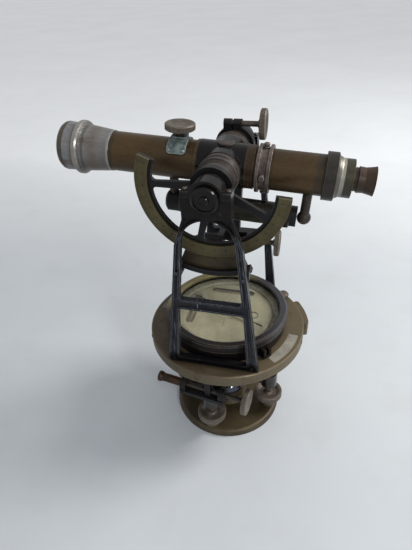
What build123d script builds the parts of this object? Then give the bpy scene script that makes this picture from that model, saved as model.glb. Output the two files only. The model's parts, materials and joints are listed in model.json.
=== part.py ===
from build123d import *
from math import cos, pi, radians, sin, sqrt
import os

# Four-screw surveyor's transit with a sunk compass. Sizes in millimetres, +Z up.
# +X runs along the telescope to its eyepiece, -Y faces the vertical arc.
# The origin is the centre of the foot plate's underside.

os.makedirs("parts", exist_ok=True)

# ---- fits ----
fit = 0.05  # radial clearance of a shaft in its hole
slack = 0.1  # clearance of a pane, ring or cap in its seat
gap = 0.3  # between faces that move past each other
step = 0.4  # height of a bearing shoulder

# ---- foot plate and levelling head ----
foot_thickness = 8.0
foot_edge_round = 4.0
foot_margin = 2.0  # foot plate beyond the levelling shoes
tripod_thread_radius = 44.45
tripod_thread_depth = 5.0
ball_radius = 13.0
bowl_wall = 6.0
bowl_height = 13.5
ball_crown = 4.0  # ball above the bowl's rim
head_turn = -9.0  # azimuth of the first levelling screw, degrees
screw_count = 4
screw_circle = 49.0
shoe_wall = 3.4
shoe_height = 4.0
shoe_floor = 1.5
screw_foot_radius = 4.0
screw_stem_radius = 3.75
screw_overrun = 2.0  # stem above its boss
wheel_radius = 15.0
wheel_lift = 14.0  # wheel above the foot plate
wheel_thickness = 7.0
wheel_edge = 1.2
arm_lift = 37.0  # arms above the foot plate
arm_depth = 10.0
arm_root_half = 10.0
arm_tip_half = 7.0
boss_wall = 5.2
boss_below = 4.0
boss_above = 3.0
hub_radius = 20.0
head_neck_radius = 8.5
head_socket_wall = 5.0
head_height = 43.6  # top of the socket above the arms' underside

ball_centre = foot_thickness + bowl_height
ball_top = ball_centre + ball_crown
bowl_radius = ball_radius + bowl_wall
shoe_radius = screw_foot_radius + 2 * gap + shoe_wall
foot_radius = screw_circle + shoe_radius + foot_margin
wheel_bottom = foot_thickness + wheel_lift
arm_bottom = foot_thickness + arm_lift
arm_top = arm_bottom + arm_depth
boss_radius = screw_stem_radius + fit + boss_wall
boss_bottom = arm_bottom - boss_below
boss_top = arm_top + boss_above
screw_top = boss_top + screw_overrun
head_top = arm_bottom + head_height

# ---- centres (nested spindles) ----
centre_floor = 4.6  # spindles end this much below the arms
outer_centre_bottom_radius = 9.0
outer_centre_top_radius = 12.0
inner_centre_bottom_radius = 5.0
inner_centre_top_radius = 7.0
centre_neck_radius = 15.0
centre_flange_radius = 40.0
centre_flange_thickness = 4.0

centre_bottom = arm_bottom - centre_floor
head_socket_radius = outer_centre_top_radius + head_socket_wall

# ---- lower clamp and tangent ----
collar_lift = 1.4  # collar above the socket
collar_thickness = 9.0
collar_wall = 7.0
collar_headroom = 3.6  # neck above the collar
arm_plate_thickness = 6.0
arm_plate_root_half = 9.0
finger_half = 3.0
finger_overlap = 4.0  # finger past the tangent screw's axis, out and down
lower_tangent_reach = 6.0  # tangent screw outside the levelling screws
lower_tangent_lift = 9.0  # tangent screw above the bosses
lug_left = -31.0
lug_right = 18.0
lug_thickness = 6.0
lug_half = 6.0
bracket_thickness = 4.0
bracket_inner_half = 8.0
bracket_outer_half = 7.0
spring_tube_radius = 4.5
spring_tube_end = -57.0
spring_tube_flare = 1.2
plunger_radius = 2.5
plunger_seat = 12.0
lower_screw_reach = 38.5
clamp_screw_reach = 38.0
clamp_head_radius = 10.0
clamp_head_thickness = 4.0

collar_bottom = head_top + collar_lift
collar_radius = centre_neck_radius + collar_wall
flange_bottom = collar_bottom + collar_thickness + collar_headroom
lower_tangent_offset = screw_circle + lower_tangent_reach
lower_tangent_height = boss_top + lower_tangent_lift

# ---- plates ----
limb_radius = 76.9
limb_thickness = 6.0
limb_hole_radius = 30.0
limb_margin = 0.9  # limb outside its silvered scale
scale_thickness = 0.6
scale_width = 7.5
rim_gap = 0.5  # limb inside the vernier plate's skirt
skirt_wall = 2.6
plate_gap = 1.2  # vernier plate above the limb
plate_thickness = 4.5
plate_edge = 1.0
window_margin = 1.2
window_width = 10.2
window_azimuths = (-24.0, 156.0)
window_half_angle = 18.0
vernier_thickness = 0.8
vernier_width = 5.2
pane_thickness = 1.0
pane_depth = 0.5  # pane below the plate's top

limb_bottom = flange_bottom + centre_flange_thickness
limb_top = limb_bottom + limb_thickness
scale_outer = limb_radius - limb_margin
scale_inner = scale_outer - scale_width
skirt_inner = limb_radius + rim_gap
plate_radius = skirt_inner + skirt_wall
plate_underside = limb_top + plate_gap
plate_top = plate_underside + plate_thickness
window_outer = skirt_inner - window_margin
window_inner = window_outer - window_width

# ---- compass ----
box_margin = 6.0  # compass box inside the vernier windows
box_height = 15.7
box_wall = 4.5
box_ledge = 7.5
box_floor = 2.2
face_depth = 6.5  # face's underside below the box's rim
face_thickness = 1.5
ring_width = 7.7
ring_height = 2.5
glass_thickness = 2.0
bezel_wall = 2.0
bezel_lip = 6.0
bezel_grip = 3.0
bezel_crown = 3.5
needle_margin = 3.7
needle_width = 4.0
needle_thickness = 0.8
needle_azimuth = -25.0
needle_hub_radius = 4.5
hub_depth = 2.2
pivot_radius = 1.2
pivot_height = 3.3
vial_radius = 3.4
vial_inset = 12.5
vial_end_gap = 2.1
vial_window_width = 9.0
vial_window_margin = 2.5
lift_screw_azimuth = 42.3
lift_screw_inset = 7.2
lift_head_radius = 5.5
declination_azimuth = -43.0
declination_length = 7.0
declination_width = 9.0
declination_floor = 3.0

box_radius = window_inner - box_margin
box_top = plate_top + box_height
box_bore = box_radius - box_wall
cavity_radius = box_bore - box_ledge
face_bottom = box_top - face_depth
face_top = face_bottom + face_thickness
pivot_tip = face_top + pivot_height
ring_outer = box_bore - slack
ring_inner = ring_outer - ring_width
bezel_radius = box_radius + bezel_wall
bezel_opening = box_radius - bezel_lip
bezel_bottom = box_top - bezel_grip
bezel_top = box_top + glass_thickness + bezel_crown
needle_half = ring_inner - needle_margin
vial_offset = cavity_radius - vial_inset
vial_half = sqrt(cavity_radius**2 - (vial_offset + vial_radius) ** 2) - vial_end_gap
lift_screw_circle = plate_radius - lift_screw_inset

# ---- standards ----
standard_height = 173.5  # trunnion axis above the vernier plate
standard_clearance = 1.0  # standards outside the compass box
standard_thickness = 6.0
foot_margin_in = 0.7  # leg's foot inside the plate's edge
corner_round = 3.0
knee_half_width = 27.6
knee_drop = 42.8
head_half_width = 19.0
head_shoulder = 0.5
sole_height = 6.0
crossbar_drop = 97.8
crossbar_width = 10.0
foot_leg_width = 9.8
low_leg_width = 6.7
arch_radius = 22.0
arch_drop = 40.8
block_depth = 16.8
block_inside = 4.0
block_outside = 1.5
channel_rim = 1.7
channel_depth = 1.8
journal_radius = 8.0
cap_flange = 4.7
cap_arch_wall = 6.0
cap_radius = 10.5
cap_depth = 4.0
cap_dish_radius = 8.2
cap_dish_depth = 2.0
cap_boss_radius = 3.4
trunnion_radius = 17.0

trunnion_height = plate_top + standard_height
standard_inner_face = box_radius + standard_clearance
standard_outer_face = standard_inner_face + standard_thickness
foot_half_width = sqrt(plate_radius**2 - standard_outer_face**2) - foot_margin_in
knee_height = trunnion_height - knee_drop
sole_top = plate_top + sole_height
crossbar_top = trunnion_height - crossbar_drop
crossbar_bottom = crossbar_top - crossbar_width
arch_centre = trunnion_height - arch_drop
block_bottom = trunnion_height - block_depth
block_inner_face = standard_inner_face - block_inside
block_outer_face = standard_outer_face + block_outside
cap_arch_radius = journal_radius + cap_arch_wall

# ---- telescope, drawn level about the trunnion axis and then tilted ----
tilt = 3.67
tube_radius = 16.7
tube_wall = 1.5
tube_front = -97.8
tube_back = 86.0
sleeve_wall = 1.6
sleeve_front = -21.0
sleeve_back = 19.0
boss_clearance = 1.7  # trunnion boss beyond the sleeve
boss_inset = 0.8  # trunnion boss inside the sleeve's radius
band_wall = 1.2
band_back_width = 7.0
band_front_width = 2.5
slide_wall = 1.5
slide_overlap = 4.7  # slide behind its rack
slide_inset = 23.9  # slide's front behind the head's rim
head_back_wall = 0.5
head_front_radius = 20.0
bead_inset = 16.9  # bead behind the rim
bead_radius = 23.0
bead_width = 5.0
rim_station = -143.9
rim_radius = 20.9
rim_chamfer = 1.6
lens_radius = 18.0
lens_thickness = 6.0
lens_inset = 8.0
focus_station = -38.7
focus_travel = 25.0
gear_module = 0.8
pinion_teeth = 10
pinion_length = 2.2
pinion_play = 0.2
rack_margin = 6.0
rack_depth = 1.8
rack_width = 2.3
rack_stand_off = 0.9
knob_radius = 12.3
knob_lift = 8.4
knob_thickness = 5.0
knob_neck_radius = 3.6
mount_height = 3.8
mount_width = 16.0
mount_boss = 13.0
saddle_thickness = 1.9
saddle_half_angle = 58.0
reticle_gap = 2.0
reticle_width = 11.5
reticle_flange_wall = 3.1
reticle_core_wall = 1.1
reticle_flange_width = 2.5
flange_overlap = 4.0
flange_reach = 5.0
flange_wall = 2.7
nose_length = 13.0
nose_radius = 15.5
eyepiece_radius = 9.5
eyepiece_wall = 1.5
eyepiece_depth = 31.0
cup_gap = 4.0
cup_length = 13.0
cup_radius = 11.8
cup_seat = 4.0
eye_hole_radius = 3.5

bore = tube_radius - tube_wall
sleeve_radius = tube_radius + sleeve_wall
sleeve_boss_radius = sleeve_radius - boss_inset
boss_reach = sleeve_radius + boss_clearance
band_radius = tube_radius + band_wall
band_back = sleeve_back + band_back_width
band_front = sleeve_front - band_front_width
slide_radius = bore - slack
slide_bore = slide_radius - slide_wall
slide_front = rim_station + slide_inset
head_back_radius = tube_radius + head_back_wall
bead_station = rim_station + bead_inset
pitch_radius = gear_module * pinion_teeth / 2
tooth_pitch = gear_module * pi
rack_high = slide_bore - step
rack_low = rack_high - rack_depth
rack_back = focus_station + focus_travel + rack_margin
rack_front = focus_station - rack_margin
slide_back = rack_back + slide_overlap
pinion_bottom = rack_low - pinion_play
pinion_top = pinion_bottom + pinion_length
knob_bottom = tube_radius + knob_lift
knob_top = knob_bottom + knob_thickness
mount_top = tube_radius + mount_height
reticle_front = band_back + reticle_gap
reticle_back = reticle_front + reticle_width
reticle_flange_radius = tube_radius + reticle_flange_wall
reticle_core_radius = tube_radius + reticle_core_wall
flange_front = tube_back - flange_overlap
flange_back = tube_back + flange_reach
flange_radius = tube_radius + flange_wall
nose_back = flange_back + nose_length
cup_front = nose_back + cup_gap
cup_back = cup_front + cup_length

# ---- telescope level ----
level_hang = 13.3  # level's tube below the main tube
level_radius = 10.0
level_wall = 2.0
level_front = -38.0
level_back = 55.0
level_front_cap = 13.0
level_back_cap = 10.5
level_window_length = 60.0
level_window_width = 8.0
post_radius = 4.0
nut_radius = 6.0

level_drop = tube_radius + level_hang + level_radius
level_bore = level_radius - level_wall
level_glass_radius = level_bore - step
level_cap_front = level_front - level_front_cap
level_cap_back = level_back + level_back_cap
front_post_station = level_front - level_front_cap / 2
back_post_station = level_cap_back + nut_radius + slack

# ---- vertical arc, vernier, clamp and tangent ----
arc_radius = 61.3
arc_face_width = 10.1
arc_rim_width = 12.6
arc_middle = 260.0
arc_half_angle = 99.0
spoke_spacing = 76.0
spoke_width = 5.0
spoke_round = 4.0
arc_hub_wall = 5.0
seat_radius = 12.0
arc_clearance = 7.0  # arc's face inside the bearing block
arc_face_thickness = 2.4
arc_frame_thickness = 3.0
reading_gap = 0.5  # vernier outside the arc
vernier_radial = 11.8
vernier_half_angle = 23.0
bracket_radial = 4.4
bracket_half_angle = 25.0
bracket_width = 6.4
pad_angle = 22.0
pad_width = 7.0
pad_height = 9.0
tangent_inset = 11.0  # tangent screw inside the bearing block
tangent_drop = 100.8
clamp_screw_rise = 19.7
clamp_ring_wall = 6.0
clamp_arm_width = 7.6
clamp_arm_root_half = 9.0
clamp_arm_waist_half = 5.0
clamp_waist_rise = 14.0  # waist above the tangent screw
clamp_tip_drop = 6.0
lug_front_x = -10.0
lug_back_x = 6.5
lug_wall = 1.4
lug_slit = 1.6
slit_x = -2.0
thumb_radius = 13.0
thumb_thickness = 5.0
thumb_shank = 2.5
thumb_collar = 1.2
axis_screw_reach = 23.0
vertical_screw_reach = 41.5
tangent_bar_half = 18.0
tangent_bar_thickness = 9.0
tangent_bar_height = 12.0
tangent_lug_half = 3.0
tangent_lug_x = 15.0
spring_housing_length = 16.0

arc_front_face = block_inner_face - arc_clearance
arc_joint_face = arc_front_face - arc_face_thickness
arc_back_face = arc_joint_face - arc_frame_thickness
arc_face_inner = arc_radius - arc_face_width
arc_rim_inner = arc_radius - arc_rim_width
arc_hub_radius = seat_radius + arc_hub_wall
reading_back_face = arc_back_face + arc_frame_thickness - 1
vernier_inner = arc_radius + reading_gap
vernier_outer = vernier_inner + vernier_radial
bracket_outer = vernier_outer + bracket_radial
tangent_offset = block_inner_face - tangent_inset
tangent_height = trunnion_height - tangent_drop
clamp_screw_height = trunnion_height + clamp_screw_rise

# ---- upper clamp at the rim ----
ear_azimuth = 22.0
ear_half_angle = 13.0
ear_reach = 5.5
ear_round = 3.0
ear_thickness = 6.0
ear_lap = 10.0
ear_screw_inset = 2.9
ear_screw_reach = 12.0
ear_head_radius = 8.0
ear_head_thickness = 4.0


def turn(points, about=Plane.XY, mode=Mode.ADD):
    """Turn a closed (radius, height) outline about a plane's normal."""
    half_plane = Plane(about.origin, x_dir=about.x_dir, z_dir=-about.y_dir)
    with BuildSketch(half_plane) as outline:
        with BuildLine():
            Polyline(*points, close=True)
        make_face()
    revolve(outline.sketch, axis=Axis(about.origin, about.z_dir), mode=mode)


def ring_sector(inner, outer, middle, half_angle):
    """Flat piece of a ring, centred on one azimuth."""
    with BuildSketch() as sector:
        with BuildLine():
            low = CenterArc((0, 0), inner, middle - half_angle, 2 * half_angle)
            high = CenterArc((0, 0), outer, middle - half_angle, 2 * half_angle)
            Line(low @ 0, high @ 0)
            Line(low @ 1, high @ 1)
        make_face()
    return sector.sketch


def thumb_screw(plane, reach, head_radius=thumb_radius, head_thickness=thumb_thickness):
    """Screw with a dished milled head; the plane is at its tip and faces the head."""
    dish = head_thickness / 4
    edge = head_thickness / 5
    top = reach + head_thickness
    turn(
        [
            (0, 0),
            (thumb_shank, 0),
            (thumb_shank, reach - 2),
            (thumb_shank + thumb_collar, reach - 2),
            (thumb_shank + thumb_collar, reach),
            (head_radius - edge, reach),
            (head_radius, reach + edge),
            (head_radius, top - edge),
            (head_radius - edge, top),
            (head_radius - 2 * edge - 1, top),
            (head_radius / 2, top - dish),
            (0, top - dish),
        ],
        plane,
    )


def drill(plane, depth):
    """Clearance hole for a thumb screw's shank."""
    hole = thumb_shank + fit
    turn([(0, 0), (hole, 0), (hole, depth), (0, depth)], plane, mode=Mode.SUBTRACT)


def along_x(x, y, z, facing=1):
    """Plane facing along X, or back along it."""
    return Plane((x, y, z), x_dir=(0, facing, 0), z_dir=(facing, 0, 0))


# ==== base: foot plate and levelling head ====

with BuildPart() as foot_plate:
    turn(
        [
            (0, tripod_thread_depth),
            (tripod_thread_radius, tripod_thread_depth),
            (tripod_thread_radius, 0),
            (foot_radius, 0),
            (foot_radius, foot_thickness),
            (bowl_radius + 3, foot_thickness),
            (bowl_radius, foot_thickness + 4),
            (bowl_radius, ball_centre),
            (0, ball_centre),
        ]
    )
    rim = foot_plate.edges().filter_by(GeomType.CIRCLE).filter_by(lambda e: e.radius > foot_radius - 0.1)
    fillet(rim.sort_by(Axis.Z)[-1], foot_edge_round)
    with Locations((0, 0, ball_centre)):
        Sphere(ball_radius + fit, mode=Mode.SUBTRACT)

with BuildPart() as half_ball:
    with Locations((0, 0, ball_centre)):
        Sphere(ball_radius)
    split(bisect_by=Plane.XY.offset(ball_top), keep=Keep.BOTTOM)

with BuildPart() as levelling_shoes:
    with BuildSketch(Plane.XY.offset(foot_thickness)):
        with PolarLocations(screw_circle, screw_count, head_turn):
            Circle(shoe_radius)
    extrude(amount=shoe_height)
    with BuildSketch(Plane.XY.offset(foot_thickness + shoe_floor)):
        with PolarLocations(screw_circle, screw_count, head_turn):
            Circle(screw_foot_radius + 2 * gap)
    extrude(amount=shoe_height, mode=Mode.SUBTRACT)

socket_floor = centre_bottom - step
head_arm = [
    (0, -arm_root_half),
    (screw_circle, -arm_tip_half),
    (screw_circle, arm_tip_half),
    (0, arm_root_half),
]

with BuildPart() as levelling_head:
    turn(
        [
            (0, ball_top),
            (head_neck_radius, ball_top),
            (head_neck_radius, ball_top + 7),
            (hub_radius, arm_bottom - 3),
            (hub_radius, arm_top + 4),
            (head_socket_radius, arm_top + 11),
            (head_socket_radius, head_top),
            (0, head_top),
        ]
    )
    with BuildSketch(Plane.XY.offset(arm_bottom)):
        with PolarLocations(0, screw_count, head_turn):
            Polygon(*head_arm, align=None)
    extrude(amount=arm_depth)
    with BuildSketch(Plane.XY.offset(boss_bottom)):
        with PolarLocations(screw_circle, screw_count, head_turn):
            Circle(boss_radius)
    extrude(amount=boss_top - boss_bottom)
    with BuildSketch(Plane.XY.offset(boss_bottom)):
        with PolarLocations(screw_circle, screw_count, head_turn):
            Circle(screw_stem_radius + fit)
    extrude(amount=boss_top - boss_bottom, mode=Mode.SUBTRACT)
    turn(
        [
            (0, socket_floor),
            (outer_centre_bottom_radius + fit, socket_floor),
            (outer_centre_bottom_radius + fit, centre_bottom),
            (outer_centre_top_radius + fit, head_top),
            (0, head_top),
        ],
        mode=Mode.SUBTRACT,
    )

wheel_top = wheel_bottom + wheel_thickness
foot_end = foot_thickness + shoe_floor + gap
screw_outline = [
    (0, foot_end),
    (screw_foot_radius - 1, foot_end),
    (screw_foot_radius, foot_end + 1),
    (screw_foot_radius, wheel_bottom),
    (wheel_radius - wheel_edge, wheel_bottom),
    (wheel_radius, wheel_bottom + wheel_edge),
    (wheel_radius, wheel_top - wheel_edge),
    (wheel_radius - wheel_edge, wheel_top),
    (wheel_radius - 2 * wheel_edge, wheel_top),
    (wheel_radius - 5 * wheel_edge, wheel_top - 2 * wheel_edge),
    (screw_stem_radius + 1.5, wheel_top - 2 * wheel_edge - step),
    (screw_stem_radius, wheel_top - wheel_edge),
    (screw_stem_radius, screw_top),
    (0, screw_top),
]

levelling_screws = []
for number in range(screw_count):
    azimuth = radians(head_turn + number * 360 / screw_count)
    with BuildPart() as levelling_screw:
        turn(screw_outline, Plane((screw_circle * cos(azimuth), screw_circle * sin(azimuth), 0)))
    levelling_screws.append(levelling_screw)

# ==== lower clamp and tangent, square to the arm at head_turn - 90 ====

head_frame = Plane.XY.rotated((0, 0, head_turn))
tangent_way = head_frame.x_dir


def head_point(across, out, height=0):
    """Point across the clamp arm, out along it and up."""
    return head_frame.from_local_coords((across, -out, height))


def head_outline(corners):
    """Flat piece with corners given across the clamp arm and out along it."""
    with BuildSketch() as piece:
        with BuildLine():
            Polyline(*[head_point(across, out) for across, out in corners], close=True)
        make_face()
    return piece.sketch


def tangent_plane(across):
    """Plane facing along the tangent screw at a distance from the finger."""
    spot = head_point(across, lower_tangent_offset, lower_tangent_height)
    return Plane(spot, x_dir=(0, 0, 1), z_dir=tangent_way)


clamp_screw_azimuth = radians(head_turn + 135.0)
clamp_way = Vector(cos(clamp_screw_azimuth), sin(clamp_screw_azimuth), 0)
clamp_lift = Vector(0, 0, collar_bottom + collar_thickness / 2)
clamp_spot = clamp_way * (centre_neck_radius + gap) + clamp_lift
clamp_screw_plane = Plane(clamp_spot, x_dir=(0, 0, 1), z_dir=clamp_way)

finger_root = lower_tangent_offset - finger_overlap
finger_tip = lower_tangent_offset + finger_overlap
arm_corners = [
    (-arm_plate_root_half, 0),
    (arm_plate_root_half, 0),
    (finger_half, finger_tip),
    (-finger_half, finger_tip),
]
finger_corners = [
    (-finger_half, finger_root),
    (finger_half, finger_root),
    (finger_half, finger_tip),
    (-finger_half, finger_tip),
]

with BuildPart() as lower_clamp_collar:
    with BuildSketch(Plane.XY.offset(collar_bottom)):
        Circle(collar_radius)
        add(head_outline(arm_corners))
        Circle(centre_neck_radius + fit, mode=Mode.SUBTRACT)
    extrude(amount=arm_plate_thickness)
    with BuildSketch(Plane.XY.offset(collar_bottom)):
        Circle(collar_radius)
        Circle(centre_neck_radius + fit, mode=Mode.SUBTRACT)
    extrude(amount=collar_thickness)
    with BuildSketch(Plane.XY.offset(lower_tangent_height - finger_overlap)):
        add(head_outline(finger_corners))
    extrude(amount=collar_bottom - lower_tangent_height + finger_overlap + 1)
    drill(clamp_screw_plane, 2 * collar_wall)

bracket_near = lower_tangent_offset - bracket_inner_half
bracket_far = lower_tangent_offset + bracket_outer_half
lug_drop = lower_tangent_height - boss_top - bracket_thickness
bracket_corners = [
    (lug_left, bracket_near),
    (lug_right, bracket_near),
    (lug_right, bracket_far),
    (lug_left, bracket_far),
]

with BuildPart() as lower_tangent_bracket:
    with BuildSketch(Plane.XY.offset(boss_top)):
        add(head_outline(bracket_corners))
        with Locations(head_point(0, screw_circle)):
            Circle(screw_stem_radius + 2, mode=Mode.SUBTRACT)
    extrude(amount=bracket_thickness)
    for start in (lug_left, lug_right - lug_thickness):
        with BuildSketch(tangent_plane(start)):
            Circle(lug_half)
            with Locations((-lug_drop / 2, 0)):
                Rectangle(lug_drop, 2 * lug_half)
        extrude(amount=lug_thickness)
    drill(tangent_plane(lug_right - lug_thickness), lug_thickness)
    with BuildSketch(tangent_plane(lug_left)):
        Circle(spring_tube_radius + fit)
    extrude(amount=lug_thickness, mode=Mode.SUBTRACT)

tube_length = lug_left + lug_thickness - spring_tube_end
plunger_hole = plunger_radius + gap

with BuildPart() as lower_spring_box:
    turn(
        [
            (0, 0),
            (spring_tube_radius + spring_tube_flare, 0),
            (spring_tube_radius + spring_tube_flare, 2.5),
            (spring_tube_radius, 5),
            (spring_tube_radius, tube_length),
            (0, tube_length),
        ],
        tangent_plane(spring_tube_end),
    )
    turn(
        [(0, 5), (plunger_hole, 5), (plunger_hole, tube_length), (0, tube_length)],
        tangent_plane(spring_tube_end),
        mode=Mode.SUBTRACT,
    )

with BuildPart() as lower_plunger:
    with BuildSketch(tangent_plane(spring_tube_end + plunger_seat)):
        Circle(plunger_radius)
    extrude(amount=-finger_half - gap - spring_tube_end - plunger_seat)

with BuildPart() as lower_tangent_screw:
    tip_across = finger_half + gap
    thumb_screw(tangent_plane(tip_across), lower_screw_reach - tip_across)

with BuildPart() as lower_clamp_screw:
    thumb_screw(clamp_screw_plane, clamp_screw_reach, clamp_head_radius, clamp_head_thickness)

# ==== limb: the lower motion ====

with BuildPart() as outer_centre:
    turn(
        [
            (inner_centre_bottom_radius + fit, centre_bottom),
            (outer_centre_bottom_radius, centre_bottom),
            (outer_centre_top_radius, head_top),
            (outer_centre_top_radius, head_top + step),
            (centre_neck_radius, head_top + step),
            (centre_neck_radius, flange_bottom),
            (centre_flange_radius, flange_bottom),
            (centre_flange_radius, limb_bottom),
            (inner_centre_top_radius + fit, limb_bottom),
        ]
    )

with BuildPart() as limb_plate:
    turn(
        [
            (limb_hole_radius, limb_bottom),
            (limb_radius - plate_edge, limb_bottom),
            (limb_radius, limb_bottom + plate_edge),
            (limb_radius, limb_top),
            (limb_hole_radius, limb_top),
        ]
    )

with BuildPart() as limb_scale:
    with BuildSketch(Plane.XY.offset(limb_top)):
        Circle(scale_outer)
        Circle(scale_inner, mode=Mode.SUBTRACT)
    extrude(amount=scale_thickness)

# ==== alidade: the upper motion ====

with BuildPart() as inner_centre:
    turn(
        [
            (0, centre_bottom + 2 * gap),
            (inner_centre_bottom_radius, centre_bottom + 2 * gap),
            (inner_centre_top_radius, limb_bottom),
            (inner_centre_top_radius, limb_bottom + step),
            (limb_hole_radius - 2, limb_bottom + step),
            (limb_hole_radius - 2, plate_underside),
            (0, plate_underside),
        ]
    )

with BuildPart() as vernier_plate:
    turn(
        [
            (0, plate_underside),
            (skirt_inner, plate_underside),
            (skirt_inner, limb_bottom + step),
            (plate_radius, limb_bottom + step),
            (plate_radius, plate_top - plate_edge),
            (plate_radius - plate_edge, plate_top),
            (0, plate_top),
        ]
    )
    for azimuth in window_azimuths:
        with BuildSketch(Plane.XY.offset(plate_underside)):
            add(ring_sector(window_inner, window_outer, azimuth, window_half_angle))
        extrude(amount=plate_thickness, mode=Mode.SUBTRACT)
    with Locations(Plane.XY.offset(plate_top)):
        with PolarLocations(lift_screw_circle, 1, lift_screw_azimuth):
            Hole(thumb_shank + fit, depth=plate_thickness - 1)

with BuildPart() as vernier_windows:
    with BuildSketch(Plane.XY.offset(plate_top - pane_depth - pane_thickness)):
        for azimuth in window_azimuths:
            add(ring_sector(window_inner + slack, window_outer - slack, azimuth, window_half_angle - slack))
    extrude(amount=pane_thickness)

with BuildPart() as vernier_scales:
    with BuildSketch(Plane.XY.offset(plate_underside - vernier_thickness)):
        for azimuth in window_azimuths:
            add(ring_sector(scale_inner - vernier_width, scale_inner - gap, azimuth, window_half_angle - 2))
    extrude(amount=vernier_thickness)

with BuildPart() as compass_box:
    turn(
        [
            (0, plate_top),
            (box_radius, plate_top),
            (box_radius, box_top),
            (box_bore, box_top),
            (box_bore, face_bottom),
            (cavity_radius, face_bottom),
            (cavity_radius, plate_top + box_floor),
            (0, plate_top + box_floor),
        ]
    )

vial_length = 2 * vial_half
vial_window_length = vial_length - 2 * vial_window_margin
vial_height = plate_top + box_floor + vial_radius + slack

with BuildPart() as compass_face:
    with BuildSketch(Plane.XY.offset(face_bottom)):
        Circle(ring_outer)
        with Locations((0, vial_offset)):
            SlotOverall(vial_window_length, vial_window_width, mode=Mode.SUBTRACT)
        with Locations((-vial_offset, 0)):
            SlotOverall(vial_window_length, vial_window_width, rotation=90, mode=Mode.SUBTRACT)
    extrude(amount=face_thickness)
    turn([(0, face_top), (pivot_radius, face_top), (pivot_radius / 8, pivot_tip), (0, pivot_tip)])

with BuildPart() as plate_vials:
    for vial_plane, across in ((Plane.YZ, vial_offset), (Plane.XZ, -vial_offset)):
        with BuildSketch(vial_plane.offset(-vial_half)):
            with Locations((across, vial_height)):
                Circle(vial_radius)
        extrude(amount=vial_length)

with BuildPart() as compass_ring:
    turn(
        [
            (ring_inner, face_top),
            (ring_outer, face_top),
            (ring_outer, face_top + ring_height),
            (ring_inner + 0.8, face_top + ring_height),
            (ring_inner, face_top + 1),
        ]
    )

with BuildPart() as compass_glass:
    with BuildSketch(Plane.XY.offset(box_top)):
        Circle(box_radius)
    extrude(amount=glass_thickness)

with BuildPart() as compass_bezel:
    lip_bottom = box_top + glass_thickness + slack
    bezel_bore = box_radius + slack + fit
    turn(
        [
            (bezel_bore, bezel_bottom),
            (bezel_radius, bezel_bottom),
            (bezel_radius, bezel_top - 1.5),
            (bezel_radius - 1.5, bezel_top),
            (bezel_opening + 1.2, bezel_top),
            (bezel_opening, bezel_top - 1.2),
            (bezel_opening, lip_bottom),
            (bezel_bore, lip_bottom),
        ]
    )

with BuildPart() as compass_needle:
    with BuildSketch(Plane.XY.offset(pivot_tip - needle_thickness / 2)):
        with Locations(Rot(0, 0, needle_azimuth)):
            Polygon(
                (needle_half, 0),
                (0, needle_width / 2),
                (-needle_half, 0),
                (0, -needle_width / 2),
                align=None,
            )
    extrude(amount=needle_thickness)
    with BuildSketch(Plane.XY.offset(pivot_tip - 1)):
        Circle(needle_hub_radius)
    extrude(amount=hub_depth)
    with BuildSketch(Plane.XY.offset(pivot_tip - 1)):
        Circle(pivot_radius + gap)
    extrude(amount=1 + gap, mode=Mode.SUBTRACT)

with BuildPart() as needle_lift_screw:
    lift_azimuth = radians(lift_screw_azimuth)
    lift_bottom = plate_top - plate_thickness + 1.2
    lift_head = plate_top - lift_bottom + 4.3
    turn(
        [
            (0, 0),
            (thumb_shank, 0),
            (thumb_shank, lift_head - 0.6),
            (lift_head_radius, lift_head),
            (lift_head_radius, lift_head + 2),
            (lift_head_radius - 1.5, lift_head + 3.6),
            (0, lift_head + 4.2),
        ],
        Plane((lift_screw_circle * cos(lift_azimuth), lift_screw_circle * sin(lift_azimuth), lift_bottom)),
    )

clamp_frame = Plane.XY.rotated((0, 0, declination_azimuth))
clamp_centre = clamp_frame.from_local_coords((box_radius + slack + declination_length / 2, 0, 0))
clamp_base = Plane((clamp_centre.X, clamp_centre.Y, plate_top), x_dir=clamp_frame.x_dir)

with BuildPart() as declination_clamp:
    with BuildSketch(clamp_base):
        Rectangle(declination_length, declination_width)
    extrude(amount=bezel_bottom - plate_top - 2)
    with BuildSketch(clamp_base.offset(declination_floor)):
        with Locations((1.5, 0)):
            Rectangle(declination_length - 2, declination_width / 3)
    extrude(amount=box_height, mode=Mode.SUBTRACT)

# ==== standards ====

leg_slope = (foot_half_width - knee_half_width) / (knee_height - plate_top)


def leg_half_width(height):
    """Half the width over the legs at a height below the knee."""
    return foot_half_width - leg_slope * (height - plate_top)


def lower_window():
    """Opening between the sole and the crossbar."""
    low = leg_half_width(sole_top) - foot_leg_width
    high = leg_half_width(crossbar_bottom) - low_leg_width
    with BuildSketch() as window:
        Polygon(
            (-low, sole_top),
            (low, sole_top),
            (high, crossbar_bottom),
            (-high, crossbar_bottom),
            align=None,
        )
        fillet(window.vertices(), corner_round)
    return window.sketch


def upper_window():
    """Arched opening between the crossbar and the bearing."""
    wide = leg_half_width(crossbar_top) - low_leg_width
    with BuildSketch() as window:
        with BuildLine():
            Line((-wide, crossbar_top), (wide, crossbar_top))
            Line((wide, crossbar_top), (arch_radius, arch_centre))
            CenterArc((0, arch_centre), arch_radius, 0, 180)
            Line((-arch_radius, arch_centre), (-wide, crossbar_top))
        make_face()
        fillet(window.vertices().sort_by(Axis.Y)[:2], corner_round)
    return window.sketch


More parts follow.
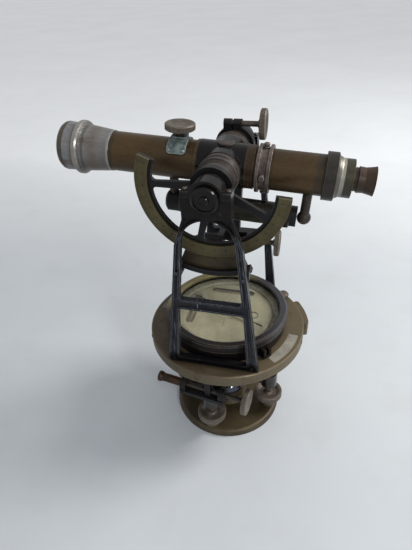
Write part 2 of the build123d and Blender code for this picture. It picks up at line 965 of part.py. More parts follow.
def standard_outline():
    """Face of an A-frame: two legs, sole, crossbar and arched head."""
    shoulder = head_half_width + head_shoulder
    with BuildSketch() as face:
        with BuildLine():
            Polyline(
                (-foot_half_width, plate_top),
                (foot_half_width, plate_top),
                (knee_half_width, knee_height),
                (shoulder, block_bottom - 2),
                (shoulder, block_bottom + 1),
                (-shoulder, block_bottom + 1),
                (-shoulder, block_bottom - 2),
                (-knee_half_width, knee_height),
                close=True,
            )
        make_face()
        add(lower_window(), mode=Mode.SUBTRACT)
        add(upper_window(), mode=Mode.SUBTRACT)
    return face.sketch


def standard_frame():
    """Standard on the -Y side, with its bearing block and recessed outer face."""
    outline = standard_outline()
    block_width = block_outer_face - block_inner_face
    with BuildPart() as frame:
        with BuildSketch(Plane.XZ.offset(standard_inner_face)):
            add(outline)
        extrude(amount=standard_thickness)
        with BuildSketch(Plane.XZ.offset(standard_outer_face - channel_depth)):
            add(outline)
            offset(amount=-channel_rim, kind=Kind.INTERSECTION, mode=Mode.REPLACE)
        extrude(amount=channel_depth, mode=Mode.SUBTRACT)
        with BuildSketch(Plane.XZ.offset(block_inner_face)):
            with Locations((0, trunnion_height - block_depth / 2)):
                Rectangle(2 * head_half_width, block_depth)
        extrude(amount=block_width)
        with BuildSketch(Plane.XZ.offset(block_inner_face)):
            with Locations((0, trunnion_height)):
                Circle(journal_radius)
        extrude(amount=block_width, mode=Mode.SUBTRACT)
    return frame.part


with BuildPart() as front_standard:
    add(standard_frame())

with BuildPart() as far_standard:
    mirror(front_standard.part, about=Plane.XZ)

with BuildPart() as bearing_caps:
    with BuildSketch(Plane.XZ.offset(block_inner_face)):
        with Locations((0, trunnion_height + cap_flange / 2)):
            Rectangle(2 * head_half_width, cap_flange)
        with Locations((0, trunnion_height)):
            Circle(cap_arch_radius)
            Circle(journal_radius, mode=Mode.SUBTRACT)
        with Locations((0, trunnion_height - cap_arch_radius)):
            Rectangle(4 * cap_arch_radius, 2 * cap_arch_radius, mode=Mode.SUBTRACT)
    extrude(amount=block_outer_face - block_inner_face)
    mirror(about=Plane.XZ)

# ==== vertical circle reading: vernier and its bracket on the front standard ====

reading_plane = Plane((0, -reading_back_face, trunnion_height), x_dir=(1, 0, 0), z_dir=(0, -1, 0))
bracket_front_face = reading_back_face + bracket_width
pad_radius = (vernier_outer + bracket_outer) / 2

with BuildPart() as vertical_vernier:
    with BuildSketch(reading_plane):
        add(ring_sector(vernier_inner, vernier_outer, 270, vernier_half_angle))
    extrude(amount=arc_front_face - reading_back_face)

with BuildPart() as vernier_bracket:
    with BuildSketch(reading_plane):
        add(ring_sector(vernier_outer, bracket_outer, 270, bracket_half_angle))
    extrude(amount=bracket_width)
    with BuildSketch(reading_plane.offset(bracket_width)):
        for side in (-pad_angle, pad_angle):
            with Locations((pad_radius * sin(radians(side)), -pad_radius * cos(radians(side)))):
                Rectangle(pad_width, pad_height)
    extrude(amount=standard_inner_face - bracket_front_face)

# ==== axis clamp and vertical tangent on the far side ====

clamp_face = -tangent_offset + clamp_arm_width / 2
lug_radius = thumb_shank + fit + lug_wall
waist = tangent_height + clamp_waist_rise
finger_shoulder = tangent_height + clamp_waist_rise - clamp_arm_waist_half
finger_end = tangent_height - clamp_tip_drop

with BuildPart() as axis_clamp_arm:
    with BuildSketch(Plane.XZ.offset(clamp_face)):
        with Locations((0, trunnion_height)):
            Circle(seat_radius + clamp_ring_wall)
        Polygon(
            (-clamp_arm_root_half, trunnion_height),
            (clamp_arm_root_half, trunnion_height),
            (clamp_arm_waist_half, waist),
            (finger_half, finger_shoulder),
            (finger_half, finger_end),
            (-finger_half, finger_end),
            (-finger_half, finger_shoulder),
            (-clamp_arm_waist_half, waist),
            align=None,
        )
        with Locations(((lug_front_x + lug_back_x) / 2, trunnion_height + clamp_screw_rise / 2)):
            Rectangle(lug_back_x - lug_front_x, clamp_screw_rise)
        with Locations((0, trunnion_height)):
            Circle(seat_radius + fit, mode=Mode.SUBTRACT)
    extrude(amount=-clamp_arm_width)
    with BuildSketch(along_x(lug_front_x, tangent_offset, clamp_screw_height)):
        Circle(lug_radius)
    extrude(amount=lug_back_x - lug_front_x)
    with BuildSketch(Plane.XZ.offset(clamp_face + slack)):
        with Locations((slit_x, trunnion_height + clamp_screw_rise)):
            Rectangle(lug_slit, 2 * clamp_screw_rise - 2 * seat_radius + 2)
    extrude(amount=2 * slack - clamp_arm_width, both=True, mode=Mode.SUBTRACT)
    drill(along_x(lug_front_x + 1, tangent_offset, clamp_screw_height), lug_back_x - lug_front_x)

with BuildPart() as axis_clamp_screw:
    axis_tip = lug_front_x + 1 + gap
    thumb_screw(along_x(axis_tip, tangent_offset, clamp_screw_height), axis_screw_reach - axis_tip)

bar_middle = standard_inner_face - tangent_bar_thickness / 2
tangent_lug_start = tangent_offset - 5
tangent_lug_length = standard_inner_face - tangent_lug_start
tangent_lug_middle = tangent_lug_start + tangent_lug_length / 2
housing_radius = plunger_radius + 2

with BuildPart() as vertical_tangent_bracket:
    with BuildSketch(Plane.XY.offset(tangent_height - tangent_bar_height / 2)):
        with Locations((0, bar_middle)):
            Rectangle(2 * tangent_bar_half, tangent_bar_thickness)
        with Locations((-tangent_lug_x, tangent_lug_middle), (tangent_lug_x, tangent_lug_middle)):
            Rectangle(2 * tangent_lug_half, tangent_lug_length)
    extrude(amount=tangent_bar_height)
    with BuildSketch(along_x(-tangent_bar_half, tangent_offset, tangent_height, -1)):
        Circle(housing_radius)
    extrude(amount=spring_housing_length)
    drill(
        along_x(-tangent_bar_half - spring_housing_length / 2, tangent_offset, tangent_height),
        2 * tangent_bar_half + spring_housing_length / 2 + 1,
    )

with BuildPart() as vertical_tangent_screw:
    vertical_tip = finger_half + gap
    thumb_screw(along_x(vertical_tip, tangent_offset, tangent_height), vertical_screw_reach - vertical_tip)

# ==== upper clamp at the rim ====

ear = radians(ear_azimuth)
ear_circle = limb_radius - ear_screw_inset
ear_outer = plate_radius + ear_reach
ear_screw_plane = Plane(
    (ear_circle * cos(ear), ear_circle * sin(ear), limb_bottom - gap),
    x_dir=(1, 0, 0),
    z_dir=(0, 0, -1),
)


def ear_sector(inner):
    """Ear seen from above, from a radius outwards, with its outer corners rounded."""
    with BuildSketch() as piece:
        add(ring_sector(inner, ear_outer, ear_azimuth, ear_half_angle))
        corners = piece.vertices().filter_by(lambda v: Vector(v).length > ear_outer - 0.01)
        fillet(corners, ear_round)
    return piece.sketch


with BuildPart() as upper_clamp:
    with BuildSketch(Plane.XY.offset(limb_bottom - ear_thickness)):
        add(ear_sector(plate_radius - ear_lap))
    extrude(amount=ear_thickness - gap)
    with BuildSketch(Plane.XY.offset(limb_bottom - gap)):
        add(ear_sector(plate_radius))
    extrude(amount=plate_top - plate_edge - limb_bottom)
    drill(ear_screw_plane, ear_thickness)

with BuildPart() as upper_clamp_screw:
    thumb_screw(ear_screw_plane, ear_screw_reach, ear_head_radius, ear_head_thickness)

# ==== telescope ====

scope_x = along_x(0, 0, 0)
pinion_hole = pitch_radius + gear_module + 2 * gap

with BuildPart() as main_tube:
    turn(
        [
            (bore, tube_front),
            (tube_radius, tube_front),
            (tube_radius, band_front),
            (band_radius, band_front),
            (band_radius, sleeve_front),
            (tube_radius, sleeve_front),
            (tube_radius, sleeve_back),
            (band_radius, sleeve_back),
            (band_radius, band_back),
            (tube_radius, band_back),
            (tube_radius, tube_back),
            (bore, tube_back),
        ],
        scope_x,
    )
    with Locations(Plane((focus_station, 0, tube_radius + 2))):
        Hole(pinion_hole, depth=8)

sleeve_length = sleeve_back - sleeve_front

with BuildPart() as axis_sleeve:
    with BuildSketch(Plane.YZ.offset(sleeve_front)):
        Circle(sleeve_radius)
    extrude(amount=sleeve_length)
    with BuildSketch(Plane.XZ):
        Circle(sleeve_boss_radius)
    extrude(amount=boss_reach, both=True)
    with BuildSketch(Plane.YZ.offset(sleeve_front - 1)):
        Circle(tube_radius + fit)
    extrude(amount=sleeve_length + 2, mode=Mode.SUBTRACT)

seat_start = tangent_offset - clamp_arm_width / 2 - step / 2
journal_shoulder = journal_radius + 1.5
journal_end = block_outer_face + 0.5

with BuildPart() as trunnions:
    turn(
        [
            (0, boss_reach),
            (trunnion_radius, boss_reach),
            (trunnion_radius, boss_reach + 5),
            (trunnion_radius - 1.2, boss_reach + 6),
            (trunnion_radius - 1.2, boss_reach + 8),
            (trunnion_radius, boss_reach + 9),
            (trunnion_radius, boss_reach + 11),
            (trunnion_radius - 2, boss_reach + 12),
            (trunnion_radius - 2, seat_start),
            (seat_radius, seat_start),
            (seat_radius, arc_front_face + 1),
            (journal_shoulder, arc_front_face + 1),
            (journal_shoulder, block_inner_face - gap),
            (journal_radius - fit, block_inner_face - gap),
            (journal_radius - fit, journal_end),
            (0, journal_end),
        ],
        Plane.XZ,
    )
    mirror(about=Plane.XZ)

with BuildPart() as axle_caps:
    turn(
        [
            (0, 0),
            (cap_radius, 0),
            (cap_radius, cap_depth - 1.2),
            (cap_radius - 1, cap_depth - 0.4),
            (cap_dish_radius + 0.4, cap_depth - 0.4),
            (cap_dish_radius, cap_dish_depth),
            (cap_boss_radius + 0.4, cap_dish_depth),
            (cap_boss_radius, cap_depth - 0.6),
            (cap_boss_radius - 0.8, cap_depth),
            (0, cap_depth),
        ],
        Plane.XZ.offset(journal_end),
    )
    mirror(about=Plane.XZ)

rack_length = rack_back - rack_front
rack_middle = (rack_front + rack_back) / 2
rack_near = pitch_radius + rack_stand_off
rack_far = rack_near + rack_width
slot_near = pitch_radius + 1.5 * gear_module
slot_far = rack_far - gap
tooth_root_half = 0.9 * gear_module
tooth_tip_half = 0.3 * gear_module
tooth_reach = pitch_radius - 0.75 * gear_module
first_tooth = -2
last_tooth = int((focus_travel + 5) / tooth_pitch)

with BuildPart() as objective_slide:
    turn(
        [
            (slide_bore, slide_front),
            (slide_radius, slide_front),
            (slide_radius, slide_back),
            (slide_bore, slide_back),
        ],
        scope_x,
    )
    with BuildSketch(Plane.XY.offset(rack_low - 3)):
        with Locations((rack_middle, (slot_far - slot_near) / 2)):
            Rectangle(rack_length, slot_far + slot_near)
    extrude(amount=slide_radius, mode=Mode.SUBTRACT)
    with BuildSketch(Plane.XY.offset(rack_low)):
        with Locations((rack_middle, (rack_near + rack_far) / 2)):
            Rectangle(rack_length, rack_width)
        for count in range(first_tooth, last_tooth):
            with Locations((focus_station + (count + 0.5) * tooth_pitch, 0)):
                Polygon(
                    (-tooth_root_half, rack_near + fit),
                    (-tooth_tip_half, tooth_reach),
                    (tooth_tip_half, tooth_reach),
                    (tooth_root_half, rack_near + fit),
                    align=None,
                )
    extrude(amount=rack_depth)

lens_seat = rim_station + lens_inset
lens_opening = lens_radius - 0.6
bead_half = bead_width / 2

with BuildPart() as objective_head:
    turn(
        [
            (slide_radius + fit, tube_front - 2 * slack),
            (head_back_radius, tube_front - 2 * slack),
            (head_front_radius, bead_station + bead_half + 1),
            (bead_radius - 0.8, bead_station + bead_half),
            (bead_radius, bead_station + bead_half / 2),
            (bead_radius, bead_station - bead_half / 2),
            (bead_radius - 0.8, bead_station - bead_half),
            (rim_radius - 0.6, bead_station - bead_half - 1),
            (rim_radius, rim_station + rim_chamfer + 1.5),
            (rim_radius - 0.4, rim_station + rim_chamfer),
            (rim_radius - rim_chamfer, rim_station),
            (lens_opening, rim_station),
            (lens_opening, lens_seat),
            (lens_radius + fit, lens_seat),
            (lens_radius + fit, slide_front - 1),
            (slide_radius + fit, slide_front),
        ],
        scope_x,
    )

with BuildPart() as objective_lens:
    lens_front = lens_seat + slack
    turn(
        [
            (0, lens_front - 1.2),
            (lens_radius / 2, lens_front - 0.6),
            (lens_radius - 0.8, lens_front),
            (lens_radius, lens_front),
            (lens_radius, lens_front + lens_thickness),
            (0, lens_front + lens_thickness),
        ],
        scope_x,
    )

with BuildPart() as focus_mount:
    with BuildSketch(Plane.XY.offset(tube_radius - 4.7)):
        with Locations((focus_station, 0)):
            RectangleRounded(mount_boss, mount_boss, 3)
    extrude(amount=mount_top - tube_radius + 4.7)
    with BuildSketch(Plane.YZ.offset(focus_station - mount_width / 2)):
        add(ring_sector(tube_radius - 1, tube_radius + saddle_thickness, 90, saddle_half_angle))
    extrude(amount=mount_width)
    saddle_corners = focus_mount.edges().filter_by(lambda e: abs(e.length - saddle_thickness - 1) < 0.01)
    fillet(saddle_corners, 3)
    with BuildSketch(Plane.YZ.offset(focus_station - mount_width)):
        Circle(tube_radius + fit)
    extrude(amount=2 * mount_width, mode=Mode.SUBTRACT)
    with Locations(Plane((focus_station, 0, mount_top))):
        Hole(thumb_shank + fit, depth=6)

pinion_root = pitch_radius - gear_module - slack
pinion_tip = pitch_radius + 0.75 * gear_module

with BuildPart() as focus_knob:
    turn(
        [
            (0, pinion_bottom),
            (pinion_root, pinion_bottom),
            (pinion_root, pinion_top),
            (thumb_shank, pinion_top),
            (thumb_shank, mount_top + gap),
            (knob_neck_radius, mount_top + gap),
            (knob_neck_radius, knob_bottom - 1),
            (knob_neck_radius + 1.9, knob_bottom),
            (knob_radius - 1, knob_bottom),
            (knob_radius, knob_bottom + 1),
            (knob_radius, knob_top - 1),
            (knob_radius - 1, knob_top),
            (knob_radius - 2.5, knob_top),
            (knob_radius / 2, knob_top - 1),
            (0, knob_top - 1),
        ],
        Plane((focus_station, 0, 0)),
    )
    with BuildSketch(Plane((focus_station, 0, pinion_bottom))):
        for count in range(pinion_teeth):
            with Locations(Rot(0, 0, 90 + count * 360 / pinion_teeth)):
                Polygon(
                    (pinion_root - slack, -1.06 * gear_module),
                    (pitch_radius, -0.62 * gear_module),
                    (pinion_tip, -gear_module / 4),
                    (pinion_tip, gear_module / 4),
                    (pitch_radius, 0.62 * gear_module),
                    (pinion_root - slack, 1.06 * gear_module),
                    align=None,
                )
    extrude(amount=pinion_length)

with BuildPart() as reticle_collar:
    turn(
        [
            (tube_radius + fit, reticle_front),
            (reticle_flange_radius, reticle_front),
            (reticle_flange_radius, reticle_front + reticle_flange_width),
            (reticle_core_radius, reticle_front + reticle_flange_width + 0.5),
            (reticle_core_radius, reticle_back - reticle_flange_width - 0.5),
            (reticle_flange_radius, reticle_back - reticle_flange_width),
            (reticle_flange_radius, reticle_back),
            (tube_radius + fit, reticle_back),
        ],
        scope_x,
    )

with BuildPart() as eyepiece_flange:
    turn(
        [
            (tube_radius + fit, flange_front),
            (flange_radius, flange_front),
            (flange_radius, flange_back),
            (nose_radius + 1.5, flange_back + 1),
            (nose_radius, flange_back + 4),
            (nose_radius, nose_back),
            (eyepiece_radius + fit, nose_back),
            (eyepiece_radius + fit, tube_back + slack),
            (tube_radius + fit, tube_back + slack),
        ],
        scope_x,
    )

eyepiece_back = cup_front + cup_seat
eyepiece_bore = eyepiece_radius - eyepiece_wall

with BuildPart() as eyepiece_tube:
    turn(
        [
            (eyepiece_bore, tube_back - eyepiece_depth),
            (eyepiece_radius, tube_back - eyepiece_depth),
            (eyepiece_radius, eyepiece_back),
            (eyepiece_bore, eyepiece_back),
        ],
        scope_x,
    )

with BuildPart() as eyecup:
    turn(
        [
            (eyepiece_radius + fit, cup_front),
            (eyepiece_radius + 1, cup_front),
            (eyepiece_radius + 0.6, cup_front + 5),
            (cup_radius - 0.6, cup_back - 2),
            (cup_radius, cup_back),
            (cup_radius - 1.5, cup_back),
            (eye_hole_radius, cup_back - 5),
            (eye_hole_radius, eyepiece_back + slack),
            (eyepiece_radius + fit, eyepiece_back + slack),
        ],
        scope_x,
    )

# ---- level under the telescope ----

level_axis = along_x(0, 0, -level_drop)
end_radius = level_radius - 0.5

with BuildPart() as level_housing:
    turn(
        [
            (level_bore, level_front),
            (level_radius, level_front),
            (level_radius, level_back),
            (level_bore, level_back),
        ],
        level_axis,
    )
    with BuildSketch(Plane.XY.offset(-level_drop - level_radius - 1)):
        with Locations(((level_front + level_back) / 2, 0)):
            SlotOverall(level_window_length, level_window_width)
    extrude(amount=2 * level_radius + 2, mode=Mode.SUBTRACT)

with BuildPart() as level_glass:
    turn(
        [
            (0, level_front + 2 * slack),
            (level_glass_radius, level_front + 2 * slack),
            (level_glass_radius, level_back - 2 * slack),
            (0, level_back - 2 * slack),
        ],
        level_axis,
    )

with BuildPart() as level_ends:
    turn(
        [
            (0, level_cap_front),
            (end_radius - 2.5, level_cap_front),
            (end_radius, level_cap_front + 2),
            (end_radius, level_front),
            (0, level_front),
        ],
        level_axis,
    )
    turn(
        [
            (0, level_back),
            (level_radius + 0.8, level_back),
            (level_radius + 0.8, level_back + 4),
            (level_radius - 1, level_back + 5),
            (level_radius - 1, level_cap_back),
            (0, level_cap_back),
        ],
        level_axis,
    )

post_top = -tube_radius + 6.7
front_post_bottom = -level_drop + level_radius / 2

with BuildPart() as level_posts:
    with BuildSketch(Plane.XY.offset(-level_drop)):
        with Locations((back_post_station, 0)):
            Circle(post_radius)
    extrude(amount=post_top + level_drop)
    with Locations((back_post_station, 0, -level_drop)):
        Sphere(nut_radius)
    with BuildSketch(Plane.XY.offset(front_post_bottom)):
        with Locations((front_post_station, 0)):
            Circle(post_radius)
    extrude(amount=post_top - front_post_bottom)
    with BuildSketch(Plane.YZ.offset(front_post_station - 2 * post_radius)):
        Circle(tube_radius + fit)
        with Locations((0, -level_drop)):
            Circle(end_radius + fit)
    extrude(amount=4 * post_radius, mode=Mode.SUBTRACT)
    with BuildSketch(Plane.YZ.offset(back_post_station - 2 * post_radius)):
        Circle(tube_radius + fit)
    extrude(amount=4 * post_radius, mode=Mode.SUBTRACT)

# ---- vertical arc ----

spoke_angles = (arc_middle - spoke_spacing, arc_middle, arc_middle + spoke_spacing)
spoke_half = spoke_width / 2
spoke_root = arc_hub_radius - 3
spoke_end = arc_rim_inner + 2 * gap
spoke_points = [
    (spoke_root, -spoke_half - 1),
    (spoke_end, -spoke_half),
    (spoke_end, spoke_half),
    (spoke_root, spoke_half + 1),
]


def spoke_joint(vertex):
    """True where a spoke's side meets the rim."""
    spot = Vector(vertex)
    if abs(spot.length - arc_rim_inner) > 0.1:
        return False
    ends = [Vector(arc_rim_inner * cos(radians(a)), arc_rim_inner * sin(radians(a))) for a in spoke_angles]
    return min((spot - end).length for end in ends) < spoke_width


with BuildSketch() as arc_spokes:
    add(ring_sector(arc_rim_inner, arc_radius - gap, arc_middle, arc_half_angle))
    for angle in spoke_angles:
        with Locations(Rot(0, 0, angle)):
            Polygon(*spoke_points, align=None)
    Circle(arc_hub_radius)
    fillet(arc_spokes.vertices().filter_by(spoke_joint), spoke_round)
    Circle(seat_radius + fit, mode=Mode.SUBTRACT)

with BuildPart() as arc_frame:
    with BuildSketch(Plane.XZ.offset(arc_back_face)):
        add(arc_spokes.sketch)
    extrude(amount=arc_frame_thickness)
    with BuildSketch(Plane.XZ.offset(arc_joint_face)):
        Circle(arc_hub_radius)
        Circle(seat_radius + fit, mode=Mode.SUBTRACT)
    extrude(amount=arc_face_thickness)

with BuildPart() as arc_scale:
    with BuildSketch(Plane.XZ.offset(arc_joint_face)):
        add(ring_sector(arc_face_inner, arc_radius, arc_middle, arc_half_angle))
    extrude(amount=arc_face_thickness)

# ==== telescope pieces take their place on the standards ====

scope_place = Location((0, 0, trunnion_height), (0, tilt, 0))

telescope_pieces = {
    "main_tube": main_tube,
    "axis_sleeve": axis_sleeve,
    "trunnions": trunnions,
    "axle_caps": axle_caps,
    "objective_slide": objective_slide,
    "objective_head": objective_head,
    "objective_lens": objective_lens,
    "focus_mount": focus_mount,
    "focus_knob": focus_knob,
    "reticle_collar": reticle_collar,
    "eyepiece_flange": eyepiece_flange,
    "eyepiece_tube": eyepiece_tube,
    "eyecup": eyecup,
    "level_housing": level_housing,
    "level_glass": level_glass,
    "level_ends": level_ends,
    "level_posts": level_posts,
    "arc_frame": arc_frame,
    "arc_scale": arc_scale,
}
for piece in telescope_pieces.values():
    piece.part = piece.part.moved(scope_place)

fixed_pieces = {
    "foot_plate": foot_plate,
    "half_ball": half_ball,
    "levelling_shoes": levelling_shoes,
    "levelling_head": levelling_head,
    "lower_clamp_collar": lower_clamp_collar,
    "lower_clamp_screw": lower_clamp_screw,
    "lower_tangent_bracket": lower_tangent_bracket,
    "lower_spring_box": lower_spring_box,
    "lower_plunger": lower_plunger,
    "lower_tangent_screw": lower_tangent_screw,
    "outer_centre": outer_centre,
    "limb_plate": limb_plate,
    "limb_scale": limb_scale,
    "inner_centre": inner_centre,
    "vernier_plate": vernier_plate,
    "vernier_windows": vernier_windows,
    "vernier_scales": vernier_scales,
    "compass_box": compass_box,
    "compass_face": compass_face,
    "plate_vials": plate_vials,
    "compass_ring": compass_ring,
    "compass_glass": compass_glass,
    "compass_bezel": compass_bezel,
    "compass_needle": compass_needle,
    "needle_lift_screw": needle_lift_screw,
    "declination_clamp": declination_clamp,
    "front_standard": front_standard,
    "far_standard": far_standard,
    "bearing_caps": bearing_caps,
    "vertical_vernier": vertical_vernier,
    "vernier_bracket": vernier_bracket,
    "axis_clamp_arm": axis_clamp_arm,
    "axis_clamp_screw": axis_clamp_screw,
    "vertical_tangent_bracket": vertical_tangent_bracket,
    "vertical_tangent_screw": vertical_tangent_screw,
    "upper_clamp": upper_clamp,
    "upper_clamp_screw": upper_clamp_screw,
}
for number, screw in enumerate(levelling_screws, start=1):
    fixed_pieces[f"levelling_screw_{number}"] = screw

for name, piece in {**fixed_pieces, **telescope_pieces}.items():
    piece.part.label = name
    export_step(piece.part, f"parts/{name}.step")
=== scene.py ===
"""Looks of a four-screw surveyor's transit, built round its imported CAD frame. Metres, +Z up."""
import json
from math import atan2, cos, pi, radians, sin

import bmesh
import bpy
from mathutils import Matrix, Vector


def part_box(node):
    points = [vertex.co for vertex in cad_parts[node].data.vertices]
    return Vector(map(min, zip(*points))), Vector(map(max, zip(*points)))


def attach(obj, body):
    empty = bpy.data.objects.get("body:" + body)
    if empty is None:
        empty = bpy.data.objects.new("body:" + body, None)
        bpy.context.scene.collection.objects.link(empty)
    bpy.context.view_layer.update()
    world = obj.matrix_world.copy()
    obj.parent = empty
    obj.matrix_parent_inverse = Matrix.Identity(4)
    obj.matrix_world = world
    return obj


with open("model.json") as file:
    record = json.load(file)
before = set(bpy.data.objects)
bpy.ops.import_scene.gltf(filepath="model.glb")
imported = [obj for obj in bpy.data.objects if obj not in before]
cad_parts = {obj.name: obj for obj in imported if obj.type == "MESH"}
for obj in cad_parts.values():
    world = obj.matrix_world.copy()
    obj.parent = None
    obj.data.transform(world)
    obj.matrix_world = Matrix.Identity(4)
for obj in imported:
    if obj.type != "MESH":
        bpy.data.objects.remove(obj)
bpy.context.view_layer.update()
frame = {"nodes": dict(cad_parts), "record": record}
mm = 0.001
origin = Vector((0, 0, 0))

# ==== places taken from the frame ====

joints = {joint["name"]: joint for joint in frame["record"]["behaviour"]["joints"]}
trunnion_height = joints["elevation"]["pos_m"][2]
focus_way = Vector(joints["objective_focus"]["axis"])
tilt = atan2(focus_way.z, -focus_way.x)
scope = Matrix.Translation((0, 0, trunnion_height)) @ Matrix.Rotation(tilt, 4, "Y")
scope_way = -focus_way

# ==== camera ====

look_at = Vector((0, 0, 130 * mm))
distance = 473.23 * mm
azimuth = radians(12.33)
elevation = radians(40.19)
pan = radians(2.6)
nod = radians(4.68)
roll = radians(0.63)
focal_length = 29.47


def make_camera():
    """The camera stands back from look_at and is then panned, nodded and rolled about its own axes."""
    out = Vector((sin(azimuth) * cos(elevation), -cos(azimuth) * cos(elevation), sin(elevation)))
    ahead = -out
    right = ahead.cross(Vector((0, 0, 1))).normalized()
    up = right.cross(ahead)
    turn = Matrix.Rotation(pan, 3, up)
    ahead, right = turn @ ahead, turn @ right
    turn = Matrix.Rotation(nod, 3, right)
    ahead, up = turn @ ahead, turn @ up
    turn = Matrix.Rotation(roll, 3, ahead)
    right, up = turn @ right, turn @ up
    camera = bpy.data.objects.new("camera", bpy.data.cameras.new("camera"))
    camera.data.lens = focal_length
    camera.data.clip_start = 0.01
    camera.matrix_world = Matrix.Translation(look_at + distance * out) @ Matrix(
        (right, up, -ahead)
    ).transposed().to_4x4()
    bpy.context.scene.collection.objects.link(camera)
    bpy.context.scene.camera = camera


make_camera()


# ==== node materials ====


class Finish:
    """A node material put together a step at a time. Coordinates are the row frame's, in metres."""

    def __init__(self, name):
        self.material = bpy.data.materials.new(name)
        self.material.use_nodes = True
        self.tree = self.material.node_tree
        self.shader = self.tree.nodes["Principled BSDF"]
        self.place = self.node("ShaderNodeTexCoord")

    def node(self, kind, inputs=None, **settings):
        made = self.tree.nodes.new(kind)
        for key, value in settings.items():
            setattr(made, key, value)
        for key, value in (inputs or {}).items():
            self.feed(made.inputs[key], value)
        return made

    def feed(self, socket, value):
        if isinstance(value, bpy.types.NodeSocket):
            self.tree.links.new(value, socket)
        else:
            socket.default_value = value

    def noise(self, scale, detail=4.0, roughness=0.55, stretch=(1, 1, 1), shift=(0, 0, 0)):
        mapped = self.node(
            "ShaderNodeMapping",
            {"Vector": self.place.outputs["Object"], "Scale": stretch, "Location": shift},
        )
        made = self.node(
            "ShaderNodeTexNoise",
            {"Vector": mapped.outputs["Vector"], "Scale": scale, "Detail": detail, "Roughness": roughness},
        )
        return made.outputs["Fac"]

    def spread(self, value, low, high, to_low=0.0, to_high=1.0):
        made = self.node(
            "ShaderNodeMapRange",
            {"Value": value, "From Min": low, "From Max": high, "To Min": to_low, "To Max": to_high},
            clamp=True,
        )
        return made.outputs["Result"]

    def math(self, operation, one, two=0.0):
        return self.node("ShaderNodeMath", {0: one, 1: two}, operation=operation).outputs[0]

    def mix(self, share, one, two, blend="MIX"):
        made = self.node("ShaderNodeMix", data_type="RGBA", blend_type=blend)
        self.feed(made.inputs[0], share)
        self.feed(made.inputs[6], one)
        self.feed(made.inputs[7], two)
        return made.outputs[2]

    def along(self, start, way):
        """Distance from a start point along a direction."""
        dot = self.node(
            "ShaderNodeVectorMath", {0: self.place.outputs["Object"], 1: way}, operation="DOT_PRODUCT"
        )
        return self.math("SUBTRACT", dot.outputs["Value"], start.dot(way))

    def band(self, value, low, high, soft):
        """1 between two values, 0 outside them."""
        rise = self.spread(value, low - soft, low + soft)
        fall = self.spread(value, high - soft, high + soft, 1.0, 0.0)
        return self.math("MULTIPLY", rise, fall)

    def edges(self, width, low=0.012, high=0.12):
        """1 along outside and inside edges, 0 on open faces."""
        soft = self.node("ShaderNodeBevel", {"Radius": width}, samples=6)
        hard = self.node("ShaderNodeNewGeometry")
        dot = self.node(
            "ShaderNodeVectorMath",
            {0: soft.outputs["Normal"], 1: hard.outputs["Normal"]},
            operation="DOT_PRODUCT",
        )
        apart = self.math("SUBTRACT", 1.0, dot.outputs["Value"])
        return self.spread(apart, low, high)

    def open_air(self, reach):
        """1 in the open, 0 deep in a recess."""
        made = self.node("ShaderNodeAmbientOcclusion", {"Distance": reach}, samples=6)
        return made.outputs["AO"]


def rgb(red, green, blue):
    """A colour given in display values, 0 to 255, as the linear colour that the shader takes."""
    linear = []
    for value in (red, green, blue):
        share = value / 255
        linear.append(share / 12.92 if share <= 0.04045 else ((share + 0.055) / 1.055) ** 2.4)
    return (*linear, 1.0)


